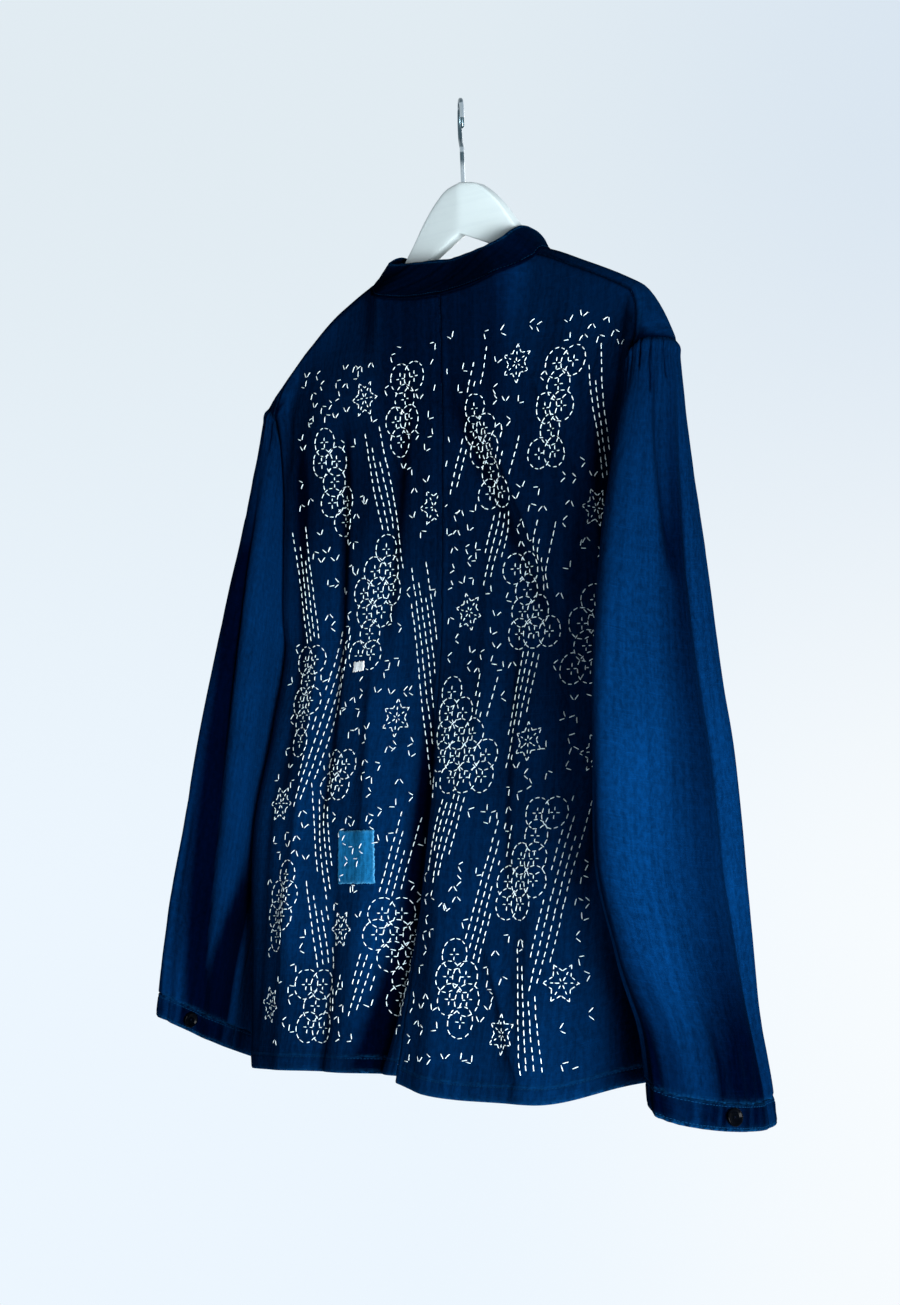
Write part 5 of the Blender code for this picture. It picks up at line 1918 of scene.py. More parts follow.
@dataclass
class Button:
    """Four-hole button with a rim and a dished middle, sewn on with a cross of thread."""

    radius: float = 0.0075
    height: float = 0.0028
    hole_radius: float = 0.00085
    hole_spread: float = 0.0019
    hole_level: float = 0.52
    thread_level: float = 0.56
    hole_steps: int = 14
    turned_steps: int = 40
    sharp_angle: float = 50.0

    def profile(self) -> list[tuple[float, float]]:
        """Half section from the back's middle to the face's middle."""
        r = self.radius
        h = self.height
        return [
            (0.0, 0.0),
            (r * 0.78, 0.0),
            (r * 0.94, h * 0.18),
            (r, h * 0.48),
            (r * 0.985, h * 0.74),
            (r * 0.93, h * 0.93),
            (r * 0.86, h),
            (r * 0.79, h * 0.95),
            (r * 0.70, h * 0.80),
            (r * 0.58, h * 0.66),
            (r * 0.44, h * 0.56),
            (r * 0.28, h * 0.50),
            (0.0, h * 0.48),
        ]

    def body(self) -> bmesh.types.BMesh:
        """Turned disc."""
        bm = bmesh.new()
        verts = [bm.verts.new((x, 0.0, z)) for x, z in self.profile()]
        edges = [bm.edges.new(pair) for pair in zip(verts, verts[1:])]
        bmesh.ops.spin(
            bm,
            geom=verts + edges,
            axis=(0, 0, 1),
            cent=(0, 0, 0),
            steps=self.turned_steps,
            angle=2 * math.pi,
            use_merge=True,
        )
        bmesh.ops.remove_doubles(bm, verts=bm.verts, dist=MERGE)
        bmesh.ops.recalc_face_normals(bm, faces=bm.faces)
        return bm

    def hole_places(self) -> list[tuple[float, float]]:
        """Middles of the four holes."""
        s = self.hole_spread / 2
        return [(s, s), (-s, s), (-s, -s), (s, -s)]

    def mesh(self, name: str, seat: Matrix) -> bpy.types.Mesh:
        """Button's mesh set on its seat, with shallow blind holes under the thread."""
        bm = self.body()
        for x, y in self.hole_places():
            ring = bmesh.ops.create_circle(
                bm, segments=self.hole_steps, radius=self.hole_radius, cap_ends=True
            )
            spot = Matrix.Translation((x, y, self.height * self.hole_level))
            bmesh.ops.transform(bm, matrix=spot, verts=ring["verts"])
            faces = [face for face in bm.faces if all(vert in ring["verts"] for vert in face.verts)]
            bmesh.ops.inset_region(bm, faces=faces, thickness=self.hole_radius * 0.3, depth=0.0001)
        bmesh.ops.transform(bm, matrix=seat, verts=bm.verts)
        mesh = mesh_of(bm, name)
        mesh.shade_smooth()
        mesh.set_sharp_from_angle(angle=math.radians(self.sharp_angle))
        return mesh


# --- laying things on the cloth ---
class Ground:
    """The outer faces of one or more pieces, met from behind the garment or from its front."""

    def __init__(self, meshes: list[bpy.types.Mesh], face: Face) -> None:
        """Join the pieces' faces."""
        places = []
        corners = []
        for mesh in meshes:
            first = len(places)
            places.extend(vert.co.copy() for vert in mesh.vertices)
            corners.extend([first + index for index in facet.vertices] for facet in mesh.polygons)
        self.tree = BVHTree.FromPolygons(places, corners)
        self.face = face

    def meet(self, x: float, z: float) -> tuple[Vector, Vector] | None:
        """Place and normal of the cloth at X and Z, or None past its edge."""
        start = Vector((x, self.face.value, z))
        spot, normal, _, _ = self.tree.ray_cast(start, Vector((0.0, -self.face.value, 0.0)))
        if spot is None:
            return None
        return spot, normal if normal.y * self.face.value > 0.0 else -normal

    def route(self, x: Numbers, z: Numbers) -> tuple[Numbers, Numbers] | None:
        """Places and normals along a line, or None if it leaves the cloth."""
        found = [self.meet(float(a), float(b)) for a, b in zip(x, z)]
        if any(item is None for item in found):
            return None
        spots, normals = zip(*found)
        return np.array(spots), np.array(normals)


# --- running-stitch motifs ---
Line = np.ndarray
ARC_STEPS = 49


def arc(x: float, z: float, radius: float, start: float, end: float) -> Line:
    """Part of a circle, as rows of X and Z."""
    turn = np.radians(np.linspace(start, end, ARC_STEPS))
    return np.stack([x + radius * np.cos(turn), z + radius * np.sin(turn)], axis=-1)


def heading(turn: float) -> Numbers:
    """Unit way in X and Z at a turn in degrees."""
    return np.array([math.cos(math.radians(turn)), math.sin(math.radians(turn))])


def straight(x: float, z: float, turn: float, inner: float, outer: float) -> Line:
    """Straight line out from a middle, from one distance to another."""
    return np.array([x, z]) + np.outer([inner, outer], heading(turn))


@dataclass(frozen=True)
class Figure:
    """Lines stitched as one: a ring, a star, an arrowhead, or a row, whose reach is 0."""

    lines: list[Line]
    x: float
    z: float
    reach: float


@dataclass(frozen=True)
class Rings:
    """Cluster of rings that cross their neighbours, each with four short spokes."""

    x: float
    z: float
    rows: tuple[int, ...]
    radius: float = 0.0136
    lean: float = 0.0
    round_turn: float = 356.0
    first_step: float = 12.0
    spoke: tuple[float, float] = (0.0018, 0.0054)

    def figures(self) -> list[Figure]:
        """Each ring with its spokes."""
        step = self.radius * math.sqrt(2.0)
        found = []
        for row, count in enumerate(self.rows):
            for place in range(count):
                x = self.x + (place - (count - 1) / 2) * step + row * self.lean
                z = self.z - row * step
                first = self.first_step * (row + place)
                lines = [arc(x, z, self.radius, first, first + self.round_turn)]
                lines.extend(straight(x, z, turn, *self.spoke) for turn in (0.0, 90.0, 180.0, 270.0))
                found.append(Figure(lines, x, z, self.radius))
        return found


@dataclass(frozen=True)
class Leaf:
    """Six-pointed leaf star: spokes and the bent lines between them."""

    x: float
    z: float
    size: float = 0.0175
    turn: float = 0.0
    spoke_start: float = 0.0020
    spoke_share: float = 0.62

    def figures(self) -> list[Figure]:
        """The star."""
        lines = []
        bend = self.size / math.sqrt(3.0)
        middle = np.array([self.x, self.z])
        for sixth in range(6):
            turn = self.turn + 60.0 * sixth
            lines.append(straight(self.x, self.z, turn, self.spoke_start, self.size * self.spoke_share))
            point = middle + self.size * heading(turn)
            lines.extend(np.stack([middle + bend * heading(turn + way), point]) for way in (30.0, -30.0))
        return [Figure(lines, self.x, self.z, self.size)]


@dataclass(frozen=True)
class Slants:
    """Band of parallel rows of running stitch, laid at a slant and stepped at both ends."""

    x: float
    z: float
    length: float
    rows: int
    turn: float = 24.0
    apart: float = 0.0068
    start_step: float = 0.016
    end_step: float = 0.012

    def figures(self) -> list[Figure]:
        """The rows, in turn from one side of the band to the other."""
        way = heading(self.turn - 90.0)
        side = np.array([-way[1], way[0]])
        found = []
        for row in range(self.rows):
            start = np.array([self.x, self.z]) + side * row * self.apart
            start = start + way * self.start_step * ((row * 2) % 3)
            line = np.stack([start, start + way * (self.length - self.end_step * ((row + 1) % 3))])
            found.append(Figure([line], float(start[0]), float(start[1]), 0.0))
        return found


@dataclass(frozen=True)
class Grains:
    """Loose field of small arrowheads, two stitches each, turned every way."""

    x: float
    z: float
    wide: float
    tall: float
    pitch: float = 0.0155
    size: float = 0.0060
    first: float = 0.0014
    opening: float = 40.0
    wander: float = 0.0045
    kept: float = 0.62
    seed: int = 1

    def figures(self) -> list[Figure]:
        """The arrowheads."""
        rng = np.random.default_rng(self.seed)
        found = []
        for row in range(int(self.tall / self.pitch) + 1):
            for column in range(int(self.wide / self.pitch) + 1):
                x = self.x + (column + 0.5 * (row % 2)) * self.pitch + rng.uniform(-self.wander, self.wander)
                z = self.z - row * self.pitch + rng.uniform(-self.wander, self.wander)
                turn = rng.uniform(0.0, 360.0)
                if rng.uniform() > self.kept:
                    continue
                ways = (-self.opening, self.opening)
                lines = [straight(x, z, turn + way, self.first, self.first + self.size) for way in ways]
                found.append(Figure(lines, x, z, self.size * 0.6))
        return found


MOTIFS = (
    Rings(-0.158, -0.262, (2, 1, 2, 1, 2), lean=0.005),
    Rings(-0.046, -0.290, (1, 2, 2, 1, 2), lean=-0.006),
    Rings(0.046, -0.250, (2, 1, 2, 1), lean=0.004),
    Rings(0.166, -0.296, (1, 2, 1, 2, 1), lean=-0.006),
    Rings(0.078, -0.404, (1, 2, 3, 2, 1, 2), lean=0.005),
    Rings(-0.104, -0.436, (2, 1, 2, 3), lean=-0.006),
    Rings(-0.192, -0.470, (1, 2, 1, 2), lean=0.004),
    Rings(0.186, -0.500, (2, 1, 2, 1, 1)),
    Rings(-0.022, -0.540, (1, 2, 3, 4, 3), lean=-0.008),
    Rings(0.122, -0.600, (2, 2), lean=0.006),
    Rings(-0.160, -0.650, (2, 1, 2, 3, 2), lean=0.008),
    Rings(0.036, -0.735, (2, 3, 2, 1, 2), lean=-0.006),
    Rings(0.180, -0.700, (1, 2, 2, 1), lean=0.004),
    Rings(-0.062, -0.770, (1, 2, 2, 1), lean=-0.005),
    Rings(0.130, -0.800, (2, 1, 2), lean=-0.004),
    Leaf(0.106, -0.262),
    Leaf(-0.100, -0.256, turn=30.0),
    Leaf(-0.196, -0.392, turn=12.0),
    Leaf(0.010, -0.372),
    Leaf(0.134, -0.452, turn=30.0),
    Leaf(-0.038, -0.470, turn=16.0),
    Leaf(0.050, -0.560, turn=30.0),
    Leaf(-0.204, -0.600),
    Leaf(-0.128, -0.588, turn=24.0),
    Leaf(0.204, -0.634),
    Leaf(-0.092, -0.716, turn=30.0),
    Leaf(0.098, -0.750),
    Leaf(-0.190, -0.792),
    Leaf(0.196, -0.820, turn=8.0),
    Leaf(-0.010, -0.838),
    Leaf(-0.128, -0.836, turn=30.0),
    Slants(-0.062, -0.236, 0.120, 3, 16.0),
    Slants(-0.196, -0.250, 0.110, 3, -12.0),
    Slants(0.086, -0.290, 0.150, 4, -14.0),
    Slants(0.196, -0.372, 0.130, 4, -12.0),
    Slants(-0.104, -0.320, 0.120, 4, 14.0),
    Slants(0.020, -0.420, 0.200, 5, -12.0),
    Slants(0.126, -0.480, 0.150, 4, 14.0),
    Slants(-0.150, -0.400, 0.200, 4, 10.0),
    Slants(-0.080, -0.530, 0.170, 5, 12.0),
    Slants(-0.206, -0.640, 0.150, 4, 12.0),
    Slants(0.012, -0.650, 0.170, 4, 14.0),
    Slants(0.156, -0.560, 0.150, 4, -16.0),
    Slants(-0.118, -0.660, 0.170, 4, 14.0),
    Slants(0.132, -0.700, 0.140, 4, -16.0),
    Slants(0.090, -0.790, 0.090, 4, 12.0),
    Slants(-0.156, -0.760, 0.120, 4, -12.0),
    Grains(-0.214, -0.226, 0.428, 0.660),
)


@dataclass
class Embroidery:
    """White running stitch over the back, one joined mesh for each half."""

    ground: Ground
    hem: Track
    stitch: float = 0.0048
    gap: float = 0.0027
    width: float = 0.00085
    thick: float = 0.0007
    seam_room: float = 0.0045
    side_room: float = 0.012
    hem_room: float = 0.021
    top_z: float = -0.215
    between: float = 0.0045
    uneven_start: float = 0.0003
    uneven_end: float = 0.0004
    uneven_line: float = 0.0002
    shortest: float = 0.0015
    row_reach: float = 0.0015
    patch_room: float = 0.004
    seed: int = 41

    def room(self, side: Side, ends: Numbers) -> bool:
        """Whether a stitch clears the seams, the hem and the small white patch."""
        x = ends[:, 0] * side.value
        z = ends[:, 1]
        low = float(self.hem.at(ends[0, 0])) + self.hem_room
        if np.min(x) < self.seam_room or np.max(z) > self.top_z or np.min(z) < low:
            return False
        white = WHITE_PATCH.grown(self.patch_room)
        return not (side is Side.LEFT and white.holds(float(ends[:, 0].mean()), float(z.mean())))

    def cut(self, line: Line, rng: np.random.Generator) -> list[Numbers]:
        """Cut a line into stitches, a little uneven by hand; each is two rows of X and Z."""
        steps = np.linalg.norm(np.diff(line, axis=0), axis=-1)
        run = np.concatenate([[0.0], np.cumsum(steps)])
        count = max(1, int(round((run[-1] + self.gap) / (self.stitch + self.gap))))
        pitch = (run[-1] + self.gap) / count
        found = []
        for number in range(count):
            begin = number * pitch + rng.normal(0.0, self.uneven_start)
            end = begin + pitch - self.gap + rng.normal(0.0, self.uneven_end)
            ends = np.stack([np.interp([begin, end], run, line[:, k]) for k in range(2)], axis=-1)
            if np.linalg.norm(ends[1] - ends[0]) > self.shortest:
                found.append(ends + rng.normal(0.0, self.uneven_line, (1, 2)))
        return found

    def free(self, x: float, z: float, reach: float, taken: Numbers) -> bool:
        """Whether a round place keeps its distance from every place taken, each an X, a Z and a reach."""
        apart = np.hypot(taken[:, 0] - x, taken[:, 1] - z)
        between = self.between * (0.5 if reach > 0.0 else 1.0)
        return bool(np.all(apart > taken[:, 2] + reach + between))

    def layout(self) -> list[Numbers]:
        """Every stitch of the back, each motif clear of those before it."""
        rng = np.random.default_rng(self.seed)
        taken = np.zeros((0, 3))
        found = []
        for motif in MOTIFS:
            fresh = []
            for figure in motif.figures():
                whole = figure.reach > 0.0
                if whole and not self.free(figure.x, figure.z, figure.reach, taken):
                    continue
                pairs = [pair for line in figure.lines for pair in self.cut(line, rng)]
                if whole:
                    found.extend(pairs)
                    fresh.append((figure.x, figure.z, figure.reach))
                    continue
                for pair in pairs:
                    x, z = pair.mean(axis=0)
                    if self.free(x, z, 0.0, taken):
                        found.append(pair)
                        fresh.append((x, z, self.row_reach))
            if fresh:
                taken = np.concatenate([taken, np.array(fresh)])
        return found

    def build(self, side: Side, layout: list[Numbers], finish: bpy.types.Material) -> bpy.types.Object:
        """Stitch one half of the back."""
        made = Stitches("embroidery_" + side.word, self.width, self.thick)
        for pair in layout:
            if not self.room(side, pair):
                continue
            x, z = pair.mean(axis=0)
            across = np.array([pair[0, 0], x, pair[1, 0], x + self.side_room * side.value])
            laid = self.ground.route(across, np.array([pair[0, 1], z, pair[1, 1], z]))
            if laid is not None:
                made.add(laid[0][:1], laid[0][2:3], laid[1][1:2])
        return made.build(finish)


# --- patches and buttons on the cloth ---
@dataclass(frozen=True)
class PatchArea:
    """Upright box of a patch, seen from behind."""

    x_low: float
    x_high: float
    z_low: float
    z_high: float

    def grown(self, edge: float) -> "PatchArea":
        """The same box with an edge all round."""
        return PatchArea(self.x_low - edge, self.x_high + edge, self.z_low - edge, self.z_high + edge)

    def holds(self, x: float, z: float) -> bool:
        """Whether a place lies in it."""
        return self.x_low < x < self.x_high and self.z_low < z < self.z_high


BLUE_PATCH = PatchArea(0.057, 0.109, -0.709, -0.661)
WHITE_PATCH = PatchArea(0.102, 0.118, -0.5145, -0.5055)


@dataclass
class SewnPatch:
    """Small piece of cloth laid on the back with a frayed edge."""

    name: str
    area: PatchArea
    ground: Ground
    lift: float = 0.0011
    cells: int = 44
    fray: float = 0.0007
    fray_cells: float = 8.0
    slant: float = 0.0
    edge_drop: float = 0.0005
    pucker: float = 0.00025
    seed: float = 1.0

    def frayed(self, share: Numbers, along: Numbers, length: float, seed: float) -> Numbers:
        """How far the two edges across a share wander, by the place along them."""
        both = smooth((share - 1.0) * self.fray_cells + 1.0) + smooth(1.0 - share * self.fray_cells)
        return self.fray * ripple(along, length, seed) * both

    def sheet(self) -> Sheet:
        """Sheet of the patch, on the cloth and a little proud of it."""
        share = np.linspace(0.0, 1.0, self.cells + 1)
        across, down = np.meshgrid(share, share)
        x = mix(self.area.x_low, self.area.x_high, across)
        z = mix(self.area.z_high, self.area.z_low, down)
        x = x + (down - 0.5) * self.slant
        x = x + self.frayed(across, z, 0.006, self.seed)
        z = z + self.frayed(down, x, 0.0055, self.seed + 2.0)
        spots, normals = self.ground.route(x.ravel(), z.ravel())
        spots = spots.reshape(x.shape + (3,))
        normals = normals.reshape(x.shape + (3,))
        edge = np.minimum(np.minimum(across, 1.0 - across), np.minimum(down, 1.0 - down))
        width = self.area.x_high - self.area.x_low
        sunk = self.edge_drop * (1.0 - smooth(edge * width / 0.0012))
        waves = ripple(x, 0.013, self.seed + 4.0) * ripple(z, 0.011, self.seed + 5.0)
        pucker = self.pucker * waves * smooth(edge * 12.0)
        places = spots + normals * (self.lift - sunk + pucker)[..., None]
        wear = Rub(1.0, 0.0009).at(edge * width)
        return Sheet(self.name, places, np.array([0.0, Face.BACK.value, 0.0]), wear, np.full_like(wear, 0.5))


def resting_place(tree: BVHTree, near: Vector, reach: float) -> tuple[Vector, Vector]:
    """Highest level place of a disc on uneven cloth: its middle and the way it faces."""
    spot, facing, _, _ = tree.find_nearest(near)
    side = facing.orthogonal().normalized()
    other = facing.cross(side)
    around = [spot]
    faced = facing.copy()
    for turn in np.linspace(0.0, 2.0 * math.pi, 12, endpoint=False):
        out = side * math.cos(turn) + other * math.sin(turn)
        place, normal, _, _ = tree.find_nearest(spot + out * reach)
        around.append(place)
        faced += normal if normal.dot(facing) > 0.0 else -normal
    faced.normalize()
    return spot + faced * max((place - spot).dot(faced) for place in around), faced


def seat_on(spot: Vector, normal: Vector, up: Vector, lift: float) -> Matrix:
    """Seat for something that stands on cloth: Z along the normal, Y as near as it can be to a given way."""
    z = normal.normalized()
    x = up.cross(z).normalized()
    y = z.cross(x)
    turned = Matrix((x, y, z)).transposed().to_4x4()
    return Matrix.Translation(spot + z * lift) @ turned


def button_thread(
    name: str, seats: list[Matrix], button: Button, finish: bpy.types.Material
) -> bpy.types.Object:
    """Crossed threads over the holes of every button, joined.

    Args:
        name: name of the piece.
        seats: where the buttons sit.
        button: what they are like.
        finish: material of the thread.

    Returns:
        The piece.
    """
    made = Stitches(name, BUTTON_THREAD_WIDTH, BUTTON_THREAD_THICK)
    level = button.height * button.thread_level
    for seat in seats:
        ends = [seat @ Vector((x, y, level)) for x, y in button.hole_places()]
        normal = (seat.to_3x3() @ Vector((0.0, 0.0, 1.0))).normalized()
        made.add(np.array(ends[:2]), np.array(ends[2:]), np.array([normal, normal]))
    return made.build(finish)


# --- seam stitching ---
@dataclass
class Topstitch:
    """Rows of sewing beside the seams and along the edges, followed on a sheet's own lines."""

    name: str
    stitch: float = 0.0024
    gap: float = 0.0009
    width: float = 0.00055
    thick: float = 0.0004
    routes: list = field(default_factory=list)

    def along_row(self, sheet: Sheet, distance: float, from_low: bool) -> None:
        """Row across the sheet at a distance from its top or its low edge."""
        from_top, to_low = from_ends(sheet.places)
        self.follow(sheet, to_low if from_low else from_top, distance, 0)

    def along_column(self, sheet: Sheet, distance: float, start: int) -> None:
        """Row down the sheet at a distance from its first column, from one of its lines on."""
        self.follow(sheet, run_lengths(sheet.places, 1), distance, 1, start)

    def follow(self, sheet: Sheet, run: Numbers, distance: float, axis: int, start: int = 0) -> None:
        """Find where each line of the sheet is at a distance, and keep the route.

        Args:
            sheet: the sheet that is sewn.
            run: distance of its every place from the edge that is followed.
            distance: the distance the row keeps.
            axis: 0 for a row across the sheet, 1 for one down it.
            start: the line where the row begins.
        """
        normal = surface_normals(sheet.places, sheet.outward)
        places = np.moveaxis(sheet.places, axis, 0)
        normals = np.moveaxis(normal, axis, 0)
        run = run if axis == 0 else run.T
        nearest = np.argmin(np.abs(run - distance), axis=0)
        nearest = np.clip(nearest, 1, run.shape[0] - 2)
        route = []
        facing = []
        for line in range(start, run.shape[1]):
            below, above = nearest[line] - 1, nearest[line] + 1
            order = slice(below, above + 1)
            levels = run[order, line]
            turn = 1 if levels[-1] > levels[0] else -1
            spot = [np.interp(distance, levels[::turn], places[order, line, k][::turn]) for k in range(3)]
            route.append(spot)
            facing.append(normals[nearest[line], line])
        self.routes.append((np.array(route), np.array(facing)))

    def build(self, finish: bpy.types.Material) -> bpy.types.Object:
        """Stitch every route as one piece."""
        made = Stitches(self.name, self.width, self.thick)
        for route, facing in self.routes:
            made.add(*stitch_line(route, facing, self.stitch, self.gap))
        return made.build(finish)




# --- studio ---
@dataclass
class Studio:
    """Floor, lamps, surroundings and camera."""

    floor_colour: Colour = (0.80, 0.86, 0.90, 1.0)
    floor_shade: float = 0.97
    floor_roughness: float = 0.85
    surround: Colour = (0.80, 0.88, 0.95, 1.0)
    surround_strength: float = 0.13
    gradient_way: Tint = (-0.669, -0.743, 0.0)
    gradient_rise: tuple[float, float] = (-0.02, 0.26)
    gradient_across: tuple[float, float] = (-0.02, 0.16)
    low_left: Colour = (0.840, 0.920, 0.995, 1.0)
    low_right: Colour = (0.930, 0.968, 0.995, 1.0)
    high_left: Colour = (0.755, 0.835, 0.890, 1.0)
    high_right: Colour = (0.700, 0.790, 0.880, 1.0)
    daylight: Tint = (0.97, 0.99, 1.0)
    fill: Tint = (1.0, 0.99, 0.98)
    middle_z: float = -0.55

    def floor(self) -> None:
        """Plain pale floor."""
        bm = bmesh.new()
        bmesh.ops.create_circle(bm, cap_ends=True, segments=96, radius=FLOOR_RADIUS)
        bmesh.ops.translate(bm, vec=(0.0, 0.0, FLOOR_Z), verts=bm.verts)
        mesh = mesh_of(bm, "floor")
        surface = Surface("pale floor")
        cloud = surface.graph.noise(surface.place, FLOOR_CLOUDS, 3.0)
        shade = tuple(part * self.floor_shade for part in self.floor_colour[:3]) + (1.0,)
        colour = surface.graph.blend(cloud, self.floor_colour, shade)
        made = surface.dressed({"Base Color": colour, "Roughness": self.floor_roughness})
        place_object("floor", mesh, made)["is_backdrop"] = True

    def world(self) -> None:
        """Even pale surroundings; the camera, gloss and glass see a soft gradient."""
        world = bpy.data.worlds.new("studio")
        bpy.context.scene.world = world
        world.use_nodes = True
        graph = Graph(world.node_tree)
        output = next(node for node in world.node_tree.nodes if node.type == "OUTPUT_WORLD")
        soft = next(node for node in world.node_tree.nodes if node.type == "BACKGROUND")
        graph.feed(soft, {"Color": self.surround, "Strength": self.surround_strength})
        where = graph.add("ShaderNodeTexCoord").outputs["Generated"]
        rise = graph.spread(graph.axis(where, "Z"), *self.gradient_rise)
        side = graph.add("ShaderNodeVectorMath", operation="DOT_PRODUCT")
        graph.feed(side, {0: where, 1: self.gradient_way})
        right = graph.spread(side.outputs["Value"], *self.gradient_across)
        low = graph.blend(right, self.low_left, self.low_right)
        high = graph.blend(right, self.high_left, self.high_right)
        seen = graph.add("ShaderNodeBackground")
        graph.feed(seen, {"Color": graph.blend(rise, low, high), "Strength": 1.0})
        path = graph.add("ShaderNodeLightPath").outputs
        show = graph.maths("MAXIMUM", path["Is Camera Ray"], path["Is Glossy Ray"])
        show = graph.maths("MAXIMUM", show, path["Is Transmission Ray"])
        choose = graph.add("ShaderNodeMixShader")
        graph.feed(choose, {0: show, 1: soft.outputs[0], 2: seen.outputs[0]})
        graph.feed(output, {"Surface": choose.outputs[0]})

    def lamp(self, name: str, spot: Vector, aim: Vector, size: float, watts: float, colour: Tint) -> None:
        """One square soft lamp.

        Args:
            name: its name.
            spot: where it stands.
            aim: the place it faces.
            size: length of its sides.
            watts: its power.
            colour: its colour.
        """
        light = bpy.data.lights.new(name, "AREA")
        light.shape = "SQUARE"
        light.size = size
        light.energy = watts
        light.color = colour
        lamp = bpy.data.objects.new(name, light)
        lamp.location = spot
        lamp.rotation_euler = (aim - spot).to_track_quat("-Z", "Y").to_euler()
        bpy.context.collection.objects.link(lamp)

    def camera(self) -> None:
        """Camera behind the garment, to its right."""
        turn = math.radians(CAMERA_TURN)
        back = Vector((math.sin(turn), -math.cos(turn), 0.0))
        lens = bpy.data.cameras.new("camera")
        lens.sensor_width = 36.0
        lens.lens = CAMERA_LENS
        lens.shift_x = CAMERA_SHIFT
        lens.clip_start = 0.05
        eye = bpy.data.objects.new("camera", lens)
        eye.location = back * CAMERA_DISTANCE + Vector((0.0, 0.0, CAMERA_Z))
        look = -back + Vector((0.0, 0.0, math.tan(math.radians(CAMERA_PITCH))))
        eye.rotation_euler = look.to_track_quat("-Z", "Y").to_euler()
        bpy.context.collection.objects.link(eye)
        bpy.context.scene.camera = eye

    def build(self) -> None:
        """Set the studio up."""
        scene = bpy.context.scene
        scene.view_settings.view_transform = "Standard"
        self.floor()
        self.world()
        middle = Vector((0.0, 0.0, self.middle_z))
        self.lamp("window_right", Vector((-2.3, 0.85, -1.0)), middle, 1.0, 165.0, self.daylight)
        self.lamp("window_left", Vector((2.2, 1.2, -0.4)), middle, 1.6, 6.0, self.daylight)
        self.lamp("front_fill", Vector((0.9, -2.5, -0.2)), middle, 2.0, 60.0, self.fill)
        self.camera()


# --- flat cuts ---
@dataclass(frozen=True)
class Cut:
    """Flat cut of a cloth piece, without its seam turnings, and what it hangs from or lies on."""

    width: float
    length: float
    holders: tuple[str, ...]
    area: float | None = None
    held: str = "hung"


CUTS = {
    "back": Cut(0.300, 0.740, ("hanger_wood", "collar_cloth"), 0.188),
    "front": Cut(0.375, 0.760, ("hanger_wood", "back_{side}_cloth"), 0.218),
    "sleeve": Cut(0.500, 0.640, ("back_{side}_cloth", "front_{side}_cloth"), 0.176),
    "cuff": Cut(0.340, 0.023, ("sleeve_{side}_cloth",)),
    "collar": Cut(0.560, 0.046, ("back_left_cloth", "back_right_cloth"), 0.0249),
    "patch_blue": Cut(0.052, 0.049, ("back_left_cloth",), None, "laid"),
    "patch_white": Cut(0.017, 0.0102, ("back_left_cloth",), None, "laid"),
}


# --- the whole jacket ---
def corners(box: tuple[Vector, Vector]) -> list[list[float]]:
    """Plain lists of a box's two corners."""
    return [[float(value) for value in corner] for corner in box]


def ride(piece: bpy.types.Object, node: str, slot: str) -> None:
    """Hold a piece to the garment in place of its solid."""
    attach(piece, "root")
    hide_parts(node)


def topstitch(sheet: Sheet) -> Topstitch | None:
    """Rows of sewing that one cloth piece carries, or None."""
    kind = sheet.name.split("_")[0]
    rows = Topstitch("topstitch_" + sheet.name)
    if kind in ("back", "front"):
        rows.along_row(sheet, HEM_DEPTH - STITCH_INSET, True)
    if kind == "front":
        rows.along_column(sheet, STRIP_WIDTH - STITCH_INSET, STRIP_STITCH_START)
    if kind in ("cuff", "collar"):
        rows.along_row(sheet, BAND_STITCH, False)
        rows.along_row(sheet, BAND_STITCH if kind == "cuff" else COLLAR_LOW_STITCH, True)
    return rows if rows.routes else None


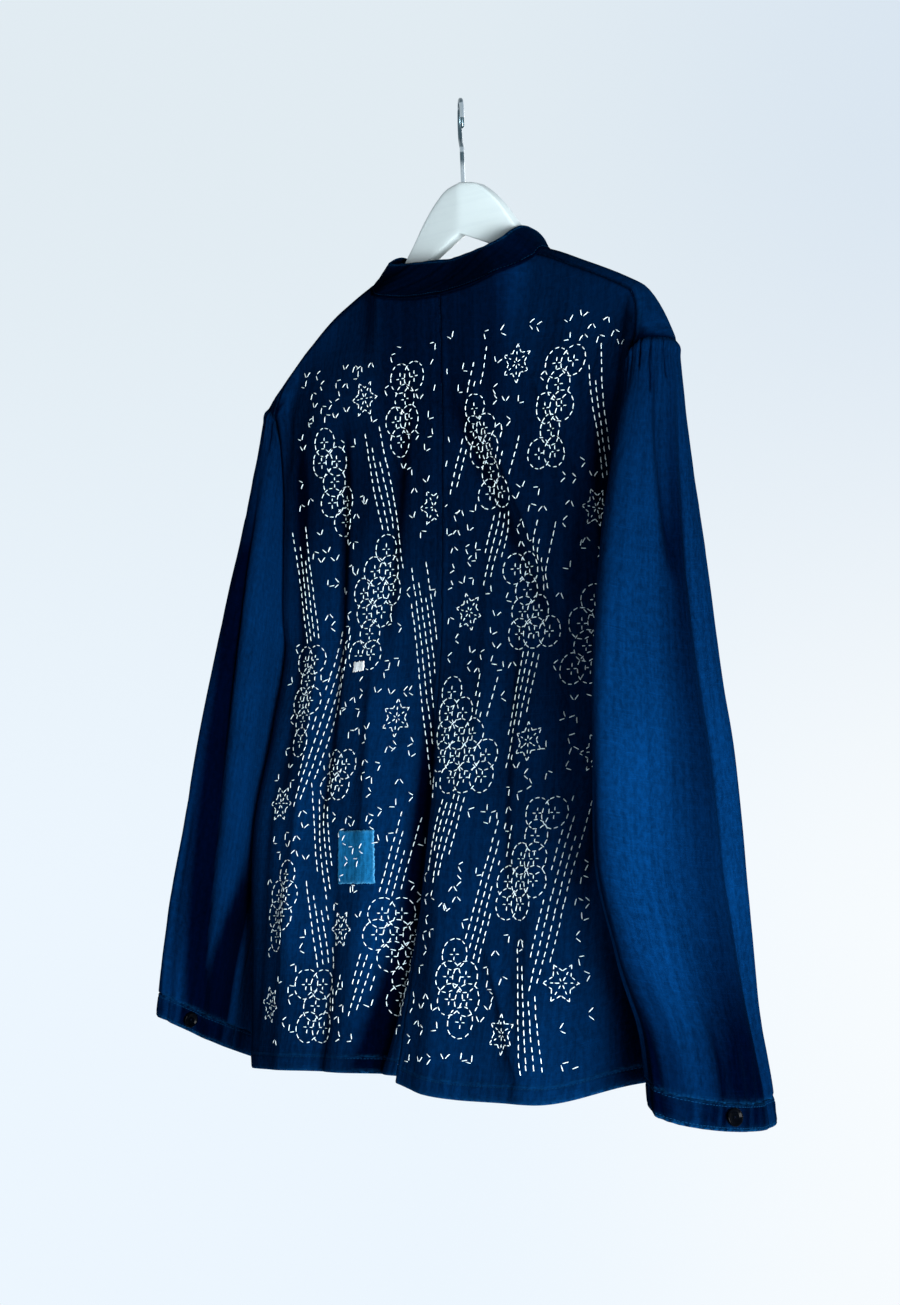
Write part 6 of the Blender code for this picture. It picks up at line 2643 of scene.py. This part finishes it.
class Jacket:
    """The garment: its cloth pieces and what is sewn on each."""

    def __init__(self, body: BodyForm, groups: Groups) -> None:
        """Start with no cloth."""
        self.body = body
        self.groups = groups
        self.sheets: dict[str, Sheet] = {}
        self.pieces: dict[str, bpy.types.Object] = {}
        self.extras: dict[str, list[bpy.types.Object]] = {}

    def cut(self) -> None:
        """Build the panels, sleeves, cuffs and collar of indigo cloth."""
        indigo = INDIGO.dress(self.groups)
        parts = []
        for side in Side:
            form = self.body.sleeves[side]
            sleeve = Sleeve(form, **FAR_SLEEVE_SHADE) if side is Side.LEFT else Sleeve(form)
            parts += [BackPanel(self.body, side), FrontPanel(self.body, side), sleeve, Cuff(form)]
        for part in [*parts, Collar(self.body)]:
            made = part.sheet()
            self.sheets[made.name] = made
            self.pieces[made.name] = cloth_object(made, indigo)

    def sew(self) -> None:
        """Hold each indigo piece to the garment and sew its edges."""
        navy = NAVY_THREAD.dress()
        for name, piece in self.pieces.items():
            ride(piece, name, "indigo_cloth")
            rows = topstitch(self.sheets[name])
            if rows is not None:
                self.extras[name] = [rows.build(navy)]
                ride(self.extras[name][0], name, "indigo_cloth")
            LOG.info("%s built", name)

    def ground(self, face: Face, *names: str) -> Ground:
        """The outer faces of some of the cloth pieces."""
        return Ground([self.pieces[name].data for name in names], face)

    def patch(self) -> None:
        """Lay the two patches on the back."""
        backs = self.ground(Face.BACK, "back_left", "back_right")
        blue = SewnPatch("patch_blue", BLUE_PATCH, backs, slant=-0.005, seed=31.0)
        white = SewnPatch("patch_white", WHITE_PATCH, backs, fray=0.0009, cells=24, seed=37.0)
        for patch, finish, slot in (
            (blue, PATCH_BLUE_CLOTH, "patch_cloth"),
            (white, WHITE_PATCH_CLOTH, "white_cotton"),
        ):
            self.pieces[patch.name] = cloth_object(patch.sheet(), finish.dress(self.groups), PATCH_CLOTH)
            ride(self.pieces[patch.name], patch.name, slot)
            LOG.info("%s laid", patch.name)

    def embroider(self) -> None:
        """Stitch the back all over, across the blue patch as well."""
        sewn = self.ground(Face.BACK, "back_left", "back_right", "patch_blue")
        white = WHITE_THREAD.dress()
        embroidery = Embroidery(sewn, self.body.hem)
        layout = embroidery.layout()
        for side in Side:
            stitched = embroidery.build(side, layout, white)
            ride(stitched, "back_" + side.word, "white_cotton")
            self.extras["back_" + side.word].append(stitched)

    def declare(self) -> None:
        """Look up every cloth piece's flat cut, what holds it and what is sewn on it, without keeping any of
        it.
        """
        for name, piece in self.pieces.items():
            cut = CUTS[name if name.startswith("patch") else name.split("_")[0]]
            word = name.split("_")[-1]
            [holder.format(side=word) for holder in cut.holders]
            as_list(self.extras.get(name, []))

    def button_up(self) -> None:
        """Sew the buttons on: five down the front and one on each cuff."""
        button = Button()
        resin = BLACK_RESIN.dress()
        front = self.ground(Face.FRONT, "front_left")
        places = {}
        for number, z in enumerate(FRONT_BUTTON_HEIGHTS, start=1):
            places[f"button_front_{number}"] = (front.tree, front.meet(0.0, z)[0])
        for side, turn in CUFF_BUTTON_TURN.items():
            form = self.body.sleeves[side]
            near = Vector(form.place(np.array(turn), form.rim_z(np.array(turn)) + CUFF_HEIGHT / 2))
            places["button_cuff_" + side.word] = (self.ground(Face.BACK, "cuff_" + side.word).tree, near)
        seats = []
        for name, (tree, near) in places.items():
            spot, facing = resting_place(tree, near, button.radius * BUTTON_SEAT_SHARE)
            seats.append(seat_on(spot, facing, Vector((0.0, 0.0, 1.0)), BUTTON_LIFT))
            ride(place_object(name + "_disc", button.mesh(name, seats[-1]), resin), name, "black_plastic")
            LOG.info("%s sewn on", name)
        thread = button_thread("button_thread", seats, button, BLACK_THREAD.dress())
        ride(thread, "button_front_1", "black_plastic")

    def build(self) -> None:
        """Make the whole garment."""
        self.cut()
        self.sew()
        self.patch()
        self.embroider()
        self.declare()
        self.button_up()


def main() -> None:
    """Build the studio, the jacket, its hanger and its hook, in order."""
    logging.basicConfig(level=logging.INFO, format="%(message)s")
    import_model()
    solid_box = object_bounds()
    Studio().build()
    Jacket(BodyForm(), Groups()).build()
    hanger = Hanger()
    wood = place_object("hanger_wood", hanger.mesh(), LACQUER.dress())
    ride(wood, "hanger", "painted_wood")
    wire_mesh = Hook().mesh("hook_wire", float(hanger.middle_y(np.array(0.0))))
    wire = place_object("hook_wire", wire_mesh, CHROME.dress())
    ride(wire, "hook", "chrome")
    LOG.info("hanger and hook built")
    {"solids": corners(solid_box), "looks": corners(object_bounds())}


if __name__ == "__main__":
    main()
